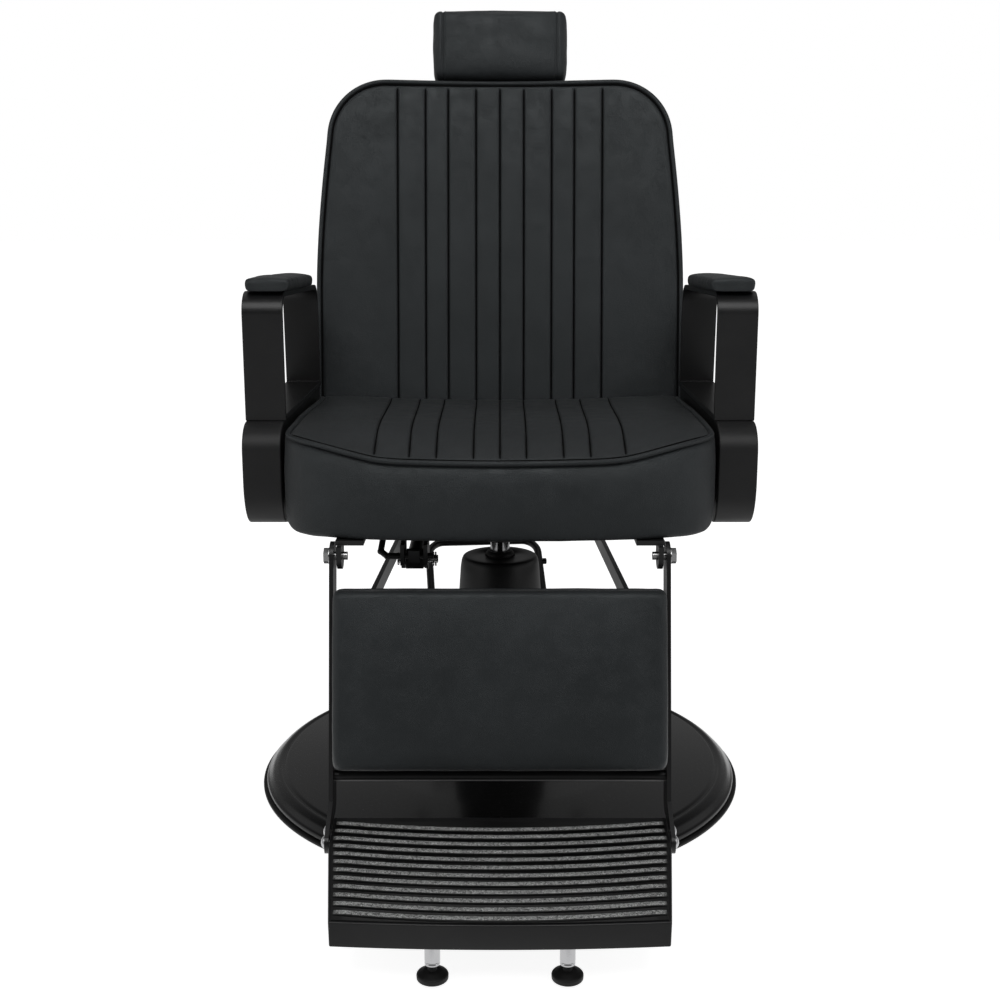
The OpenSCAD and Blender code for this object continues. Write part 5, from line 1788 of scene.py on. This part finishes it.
@dataclass
class Arms:
    """Bent arm straps and the side panels under them."""

    out: float = 322.0
    width: float = 49.0
    thick: float = 7.0
    top_z: float = 722.0
    panel_top: float = 561.0
    panel_low: float = 428.0
    front: float = -208.0
    rear: float = 136.0
    nose: float = 35.0
    strap_over: float = 2.0
    fall: float = 8.0

    def _strap_line(self, inset: float) -> list[Spot]:
        """Outline of the strap from the side.

        Args:
            inset: distance inwards from the outline.

        Returns:
            Points (y, z).
        """
        y0, y1, z1, r = self.front + inset, self.rear - self.fall - inset, self.top_z - inset, 28.0 - inset
        front = [(y0 + r - r * cosd(a), z1 - r + r * sind(a)) for a in range(0, 91, 6)]
        back = [(y1 - r + r * cosd(a), z1 - self.fall - r + r * sind(a)) for a in range(90, -1, -6)]
        foot_z = self.panel_top + (self.thick if inset else 0.0)
        return [(y0, foot_z)] + front + back + [(self.rear - inset - (0.1 if inset else 0.0), foot_z)]

    def build(self) -> None:
        """Builds both arms."""
        outer, inner = self._strap_line(0.0), self._strap_line(self.thick)
        for sign, name in ((-1, "left"), (1, "right")):
            x0, x1 = sign * (self.out - self.width), sign * self.out
            x2 = sign * (self.out - self.width - self.strap_over)
            rings = [[(x2, *o), (x1, *o), (x1, *i), (x2, *i)] for o, i in zip(outer, inner)]
            closed = rings + [rings[0]]
            strap = loft(f"arm_strap_{name}", closed, caps=False)
            weld(strap)
            bevel(strap, 1.1, 3)
            finish_piece(strap, "seat", Slot.SATIN, f"arm_frame_{name}")
            panel = plate(f"side_panel_{name}_shaped", self._panel_line(), min(x0, x1), max(x0, x1), along_x)
            bevel(panel, 2.2, 4, 40.0)
            finish_piece(panel, "seat", Slot.PANEL, f"side_panel_{name}")

    def _panel_line(self) -> list[Spot]:
        """Outline of the side panel.

        Returns:
            Points (y, z).
        """
        y0, r1, r2 = self.front - self.nose, 36.0, 60.0
        top = [(y0 + r1 - r1 * sind(a), self.panel_top - r1 + r1 * cosd(a))
               for a in range(0, 91, 5)]
        low = [(y0 + r2 * 0.75 - r2 * 0.75 * cosd(a), self.panel_low + r2 - r2 * sind(a))
               for a in range(0, 91, 5)]
        return [(self.rear, self.panel_low), (self.rear, self.panel_top)] + top + low


@dataclass
class Footplate:
    """Foot plate with its ribbed tread and the levelling feet."""

    back_w: float = 396.0
    front_w: float = 363.0
    depth: float = 212.0
    lip: float = 31.0
    feet: float = 73.5
    bow: float = 1225.0
    edge_bow: float = 2700.0
    pitch: float = 15.6
    ribs: int = 12
    ear: float = -66.0
    feet_in: float = 38.0

    def edge_x(self, y: float) -> float:
        """Half width of the plate at y in the plate's own frame.

        Args:
            y: depth.

        Returns:
            The half width in millimetres.
        """
        half, corner_y = self.back_w / 2, self.front_edge_y(self.front_w / 2)
        if y >= self.ear:
            return half
        return half + (self.front_w / 2 - half) * (self.ear - y) / (self.ear - corner_y)

    def bow_y(self, x: float, offset: float = 0.0) -> float:
        """Middle of a rib at x, with the rib set back by offset."""
        return -self.depth + offset + self.bow - math.sqrt(self.bow ** 2 - x * x)

    def front_edge_y(self, x: float, inset: float = 0.0) -> float:
        """Front edge of the plate at x, moved back by inset."""
        return -self.depth + inset + self.edge_bow - math.sqrt(self.edge_bow ** 2 - x * x)

    def build(self) -> None:
        """Builds the plate's shell, its tread, the tubes and the feet."""
        self._shell()
        self._tread()
        self._feet()

    def _outline(self, inset: float) -> list[Spot]:
        """Outline of the plate from above.

        Args:
            inset: distance inwards from the outline.

        Returns:
            Points (x, y).
        """
        h, f = self.back_w / 2 - inset, self.front_w / 2 - inset
        front = [(f * k / 12, self.front_edge_y(f * k / 12, inset)) for k in range(-12, 13)]
        return [(h, self.ear), (h, -inset), (-h, -inset), (-h, self.ear)] + front

    def _shell(self) -> None:
        """Builds the pressed plate and its bosses."""
        wall = 4.0
        drop_at = -self.depth + 70.0

        def depth_at(y: float) -> float:
            """Depth of the skirt at y."""
            return self.lip if y < drop_at else 22.0

        outer, inner = self._outline(0.0), self._outline(wall)
        rings = [
            [(x, y, 0.0) for x, y in outer],
            [(x, y, -depth_at(y)) for x, y in outer],
            [(x, y, -depth_at(y)) for x, y in inner],
            [(x, y, -wall) for x, y in inner],
        ]
        obj = loft("foot_plate_pressed", rings, FOOT)
        bevel(obj, 1.6, 4, 40.0)
        bosses = []
        boss_line = rounded([(8.7, 0.0), (15.0, 0.0), (15.0, 20.0), (8.7, 20.0)], 1.2, 3) + [(8.7, 0.0)]
        for sign in (-1, 1):
            at = FOOT @ Matrix.Translation((sign * self.feet, -self.depth + self.feet_in, -self.lip + 1.0))
            bosses.append(lathe("boss", boss_line, at, 48))
        boss = join("foot_plate_bosses", bosses)
        finish_piece(obj, "leg_rest", Slot.SATIN, "foot_plate")
        finish_piece(boss, "leg_rest", Slot.SATIN)

    def _tread(self) -> None:
        """Builds the sheet and the ribs."""
        rows = []
        for i in range(self.ribs):
            offset = 7.0 + i * self.pitch
            half = self.edge_x(-self.depth + offset) - 4.0
            across = [-half + 2 * half * k / 48 for k in range(49)]
            rows.append(self._rib(f"rib_{i}", [(x, self.bow_y(x, offset)) for x in across]))
        sheet_line = [(x, min(y, -12.0)) for x, y in self._outline(3.0)]
        sheet = plate("foot_tread_sheet", sheet_line, 0.05, 1.5, lambda u, v, w: (u, v, w), FOOT)
        finish_piece(sheet, "leg_rest", Slot.TREAD, finish=SHEET_FINISH)
        obj = join("foot_tread_ribs", rows)
        finish_piece(obj, "leg_rest", Slot.TREAD, "foot_tread")

    def _rib(self, name: str, path: Sequence[Spot]) -> bpy.types.Object:
        """Builds one rib.

        Args:
            name: the object's name.
            path: points (x, y) along it.

        Returns:
            The rib.
        """
        half = [(-4.0, 1.3), (-3.9, 3.4), (-3.6, 4.1), (-3.0, 4.45)]
        section = half + [(0.0, 4.5)] + [(-y, z) for y, z in reversed(half)]
        rings = []
        last = len(path) - 1
        for k, (x, y) in enumerate(path):
            end = min(k, last - k)
            share = (0.55, 0.86, 1.0)[min(end, 2)]
            rings.append([(x, y + dy, 1.3 + (dz - 1.3) * share) for dy, dz in section])
        return loft(name, rings, FOOT)

    def _feet(self) -> None:
        """Builds the tubes and the rubber feet."""
        y = FOOT_REAR[0] - (self.depth - self.feet_in) * cosd(FOOT_TILT)
        top = FOOT_REAR[1] - (self.depth - self.feet_in) * sind(FOOT_TILT) - 12.0
        tubes = []
        for sign, name in ((-1, "left"), (1, "right")):
            at = Matrix.Translation((sign * self.feet, y, 0.0))
            line = rounded([(5.1, 34.0), (5.1, 21.0), (7.2, 20.9), (8.4, 22.2), (8.6, 24.4), (8.0, 25.6),
                            (8.6, 26.8), (8.6, top)], 0.7, 3)
            tubes.append(lathe("tube", line, at, 48))
            foot = rounded([(0.0, 4.0), (15.6, 4.0), (17.4, 5.4), (17.6, 10.2), (16.6, 11.6), (10.0, 14.8),
                            (8.0, 15.3), (5.0, 15.5), (5.0, top - 12.0), (0.0, top - 12.0)], 0.7, 4)
            pad = lathe(f"levelling_foot_{name}", foot, at, 64)
            finish_piece(pad, f"foot_{name}", Slot.RUBBER, f"foot_{name}")
        finish_piece(join("foot_tubes_turned", tubes), "leg_rest", Slot.CHROME, "foot_tubes")


@dataclass
class BackShell:
    """Upholstered rear board of the backrest."""

    def build(self) -> None:
        """Builds the rounded board."""
        cushion = BackCushion()
        low, bend_z, bend_r = 26.0, 476.0, 81.0
        rows = [low + (bend_z - low) * k / 24 for k in range(25)]
        rows += [bend_z + bend_r * sind(a) for a in range(9, 91, 9)]
        right = [(cushion.side(z) - 9.0 - (2.0 if z > bend_z else 0.0), z) for z in rows]
        right[-1] = (min(right[-1][0], 176.0), 556.0)
        line = right + [(-x, z) for x, z in reversed(right)]
        obj = plate("back_board_covered", line, 31.9, 44.0, lambda u, v, w: (u, w, v), BACK)
        bevel(obj, 4.0, 5, 50.0)
        finish_piece(obj, "back", Slot.BOARD, "back_board")


def dress_cad_nodes() -> None:
    """Gives every CAD node that still shows its finish."""
    slots = {part["node"]: part["material_slot"] for part in frame["record"]["subparts"]}
    for name, obj in frame["nodes"].items():
        if obj.hide_render:
            continue
        material = PAINT.get(Slot(slots[name]))
        if not obj.material_slots:
            obj.data.materials.append(material)
        for slot in obj.material_slots:
            slot.material = material


# ---------------------------------------------------------------- studio


@dataclass
class Studio:
    """Camera, lights, floor and surroundings."""

    focal: float = 48.6
    eye: Point = (0.0, -1.898, 0.828)
    pitch: float = 12.33

    def build(self) -> None:
        """Builds the whole studio."""
        self._camera()
        self._floor()
        self._world()
        self._softbox("key", (0.0, -2.3, 2.9), (0.0, 0.0, 0.75), 2.6, 1.6, 36.0)
        self._softbox("top", (0.0, 0.5, 3.1), (0.0, 0.0, 0.6), 2.2, 2.2, 8.0)
        self._softbox("left", (-2.3, -1.7, 1.4), (0.0, -0.1, 0.6), 0.9, 2.4, 6.0)
        self._softbox("right", (2.3, -1.7, 1.4), (0.0, -0.1, 0.6), 0.9, 2.4, 6.0)

    def _camera(self) -> None:
        """Adds the camera."""
        data = bpy.data.cameras.new("camera")
        data.lens = self.focal
        data.sensor_width = 36.0
        data.clip_end = 100.0
        camera = new_object("camera", data)
        camera.location = self.eye
        camera.rotation_euler = (math.radians(90.0 - self.pitch), 0.0, 0.0)
        bpy.context.scene.camera = camera
        bpy.context.scene.view_settings.view_transform = "Standard"

    def _softbox(self, name: str, at: Point, aim: Point, width: float, height: float, power: float) -> None:
        """Adds one soft light.

        Args:
            name: the object's name.
            at: its place.
            aim: what it points at.
            width: width in metres.
            height: height in metres.
            power: power in watts.
        """
        data = bpy.data.lights.new(name, "AREA")
        data.shape = "RECTANGLE"
        data.size = width
        data.size_y = height
        data.energy = power
        light = new_object(name, data)
        light.location = at
        light.rotation_euler = (Vector(aim) - Vector(at)).to_track_quat("-Z", "Y").to_euler()

    def _floor(self) -> None:
        """Adds the pale floor."""
        mesh = bpy.data.meshes.new("floor")
        mesh.from_pydata([(-30, -30, 0), (30, -30, 0), (30, 30, 0), (-30, 30, 0)], [], [(0, 1, 2, 3)])
        obj = new_object("floor", mesh)
        obj.location.z = -0.0005
        material = bpy.data.materials.new("pale_floor")
        graph = new_graph(material)
        rays = graph.add("LightPath").outputs
        seen = graph.math("MAXIMUM", rays["Is Camera Ray"], rays["Is Transmission Ray"])
        pale = graph.add("BsdfDiffuse", {"Color": (0.62, 0.62, 0.62, 1.0)}).outputs[0]
        place = graph.add("TexCoord").outputs["Object"]
        reach = graph.add("VectorMath", {0: place}, operation="LENGTH").outputs["Value"]
        glow = graph.ramp(reach, 0.30, 0.95, 0.86, 1.0, smooth=True)
        white = graph.white("Emission", glow)
        lit = graph.add("AddShader", {0: pale, 1: white}).outputs[0]
        near = graph.ramp(reach, 0.62, 0.71, 0.80, 0.36, smooth=True)
        shown = graph.white("Emission", near)
        mirrored = graph.add("MixShader", {0: rays["Is Glossy Ray"], 1: pale, 2: shown}).outputs[0]
        both = graph.add("MixShader", {0: seen, 1: mirrored, 2: lit}).outputs[0]
        graph.add("OutputMaterial", {"Surface": both})
        mesh.materials.append(material)

    def _world(self) -> None:
        """Sets the surroundings."""
        world = bpy.data.worlds.new("studio")
        bpy.context.scene.world = world
        graph = new_graph(world)
        direction = graph.add("TexCoord").outputs["Generated"]
        parts = graph.add("SeparateXYZ", {0: direction}).outputs
        sideways = graph.math("ABSOLUTE", parts["X"])
        side = graph.ramp(sideways, 0.72, 0.96, 0.04, 0.55, smooth=True)
        behind = graph.ramp(parts["Y"], 0.1, 0.8, 0.0, 0.2, smooth=True)
        mirrored = graph.math("MAXIMUM", side, behind)
        rays = graph.add("LightPath").outputs
        extra = graph.math("SUBTRACT", mirrored, 0.16)
        level = graph.math("MULTIPLY_ADD", rays["Is Glossy Ray"], extra, 0.16)
        soft = graph.white("Background", level)
        white = graph.white("Background", 1.0)
        seen = graph.math("MAXIMUM", rays["Is Camera Ray"], rays["Is Transmission Ray"])
        both = graph.add("MixShader", {0: seen, 1: soft, 2: white}).outputs[0]
        graph.add("OutputWorld", {"Surface": both})


def main() -> None:
    """Builds the looks of the chair."""
    logging.basicConfig(level=logging.INFO, format="%(name)s: %(message)s")
    random.seed(SEED)
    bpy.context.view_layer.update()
    Studio().build()
    for group in (BaseGroup(), Arms(), Footplate(), BackShell(), SeatCushion(), BackCushion(), Headrest(),
                  CalfPad(), ArmPad(-1), ArmPad(1)):
        log.info("building %s", type(group).__name__)
        group.build()
    dress_cad_nodes()


if __name__ == "__main__":
    main()
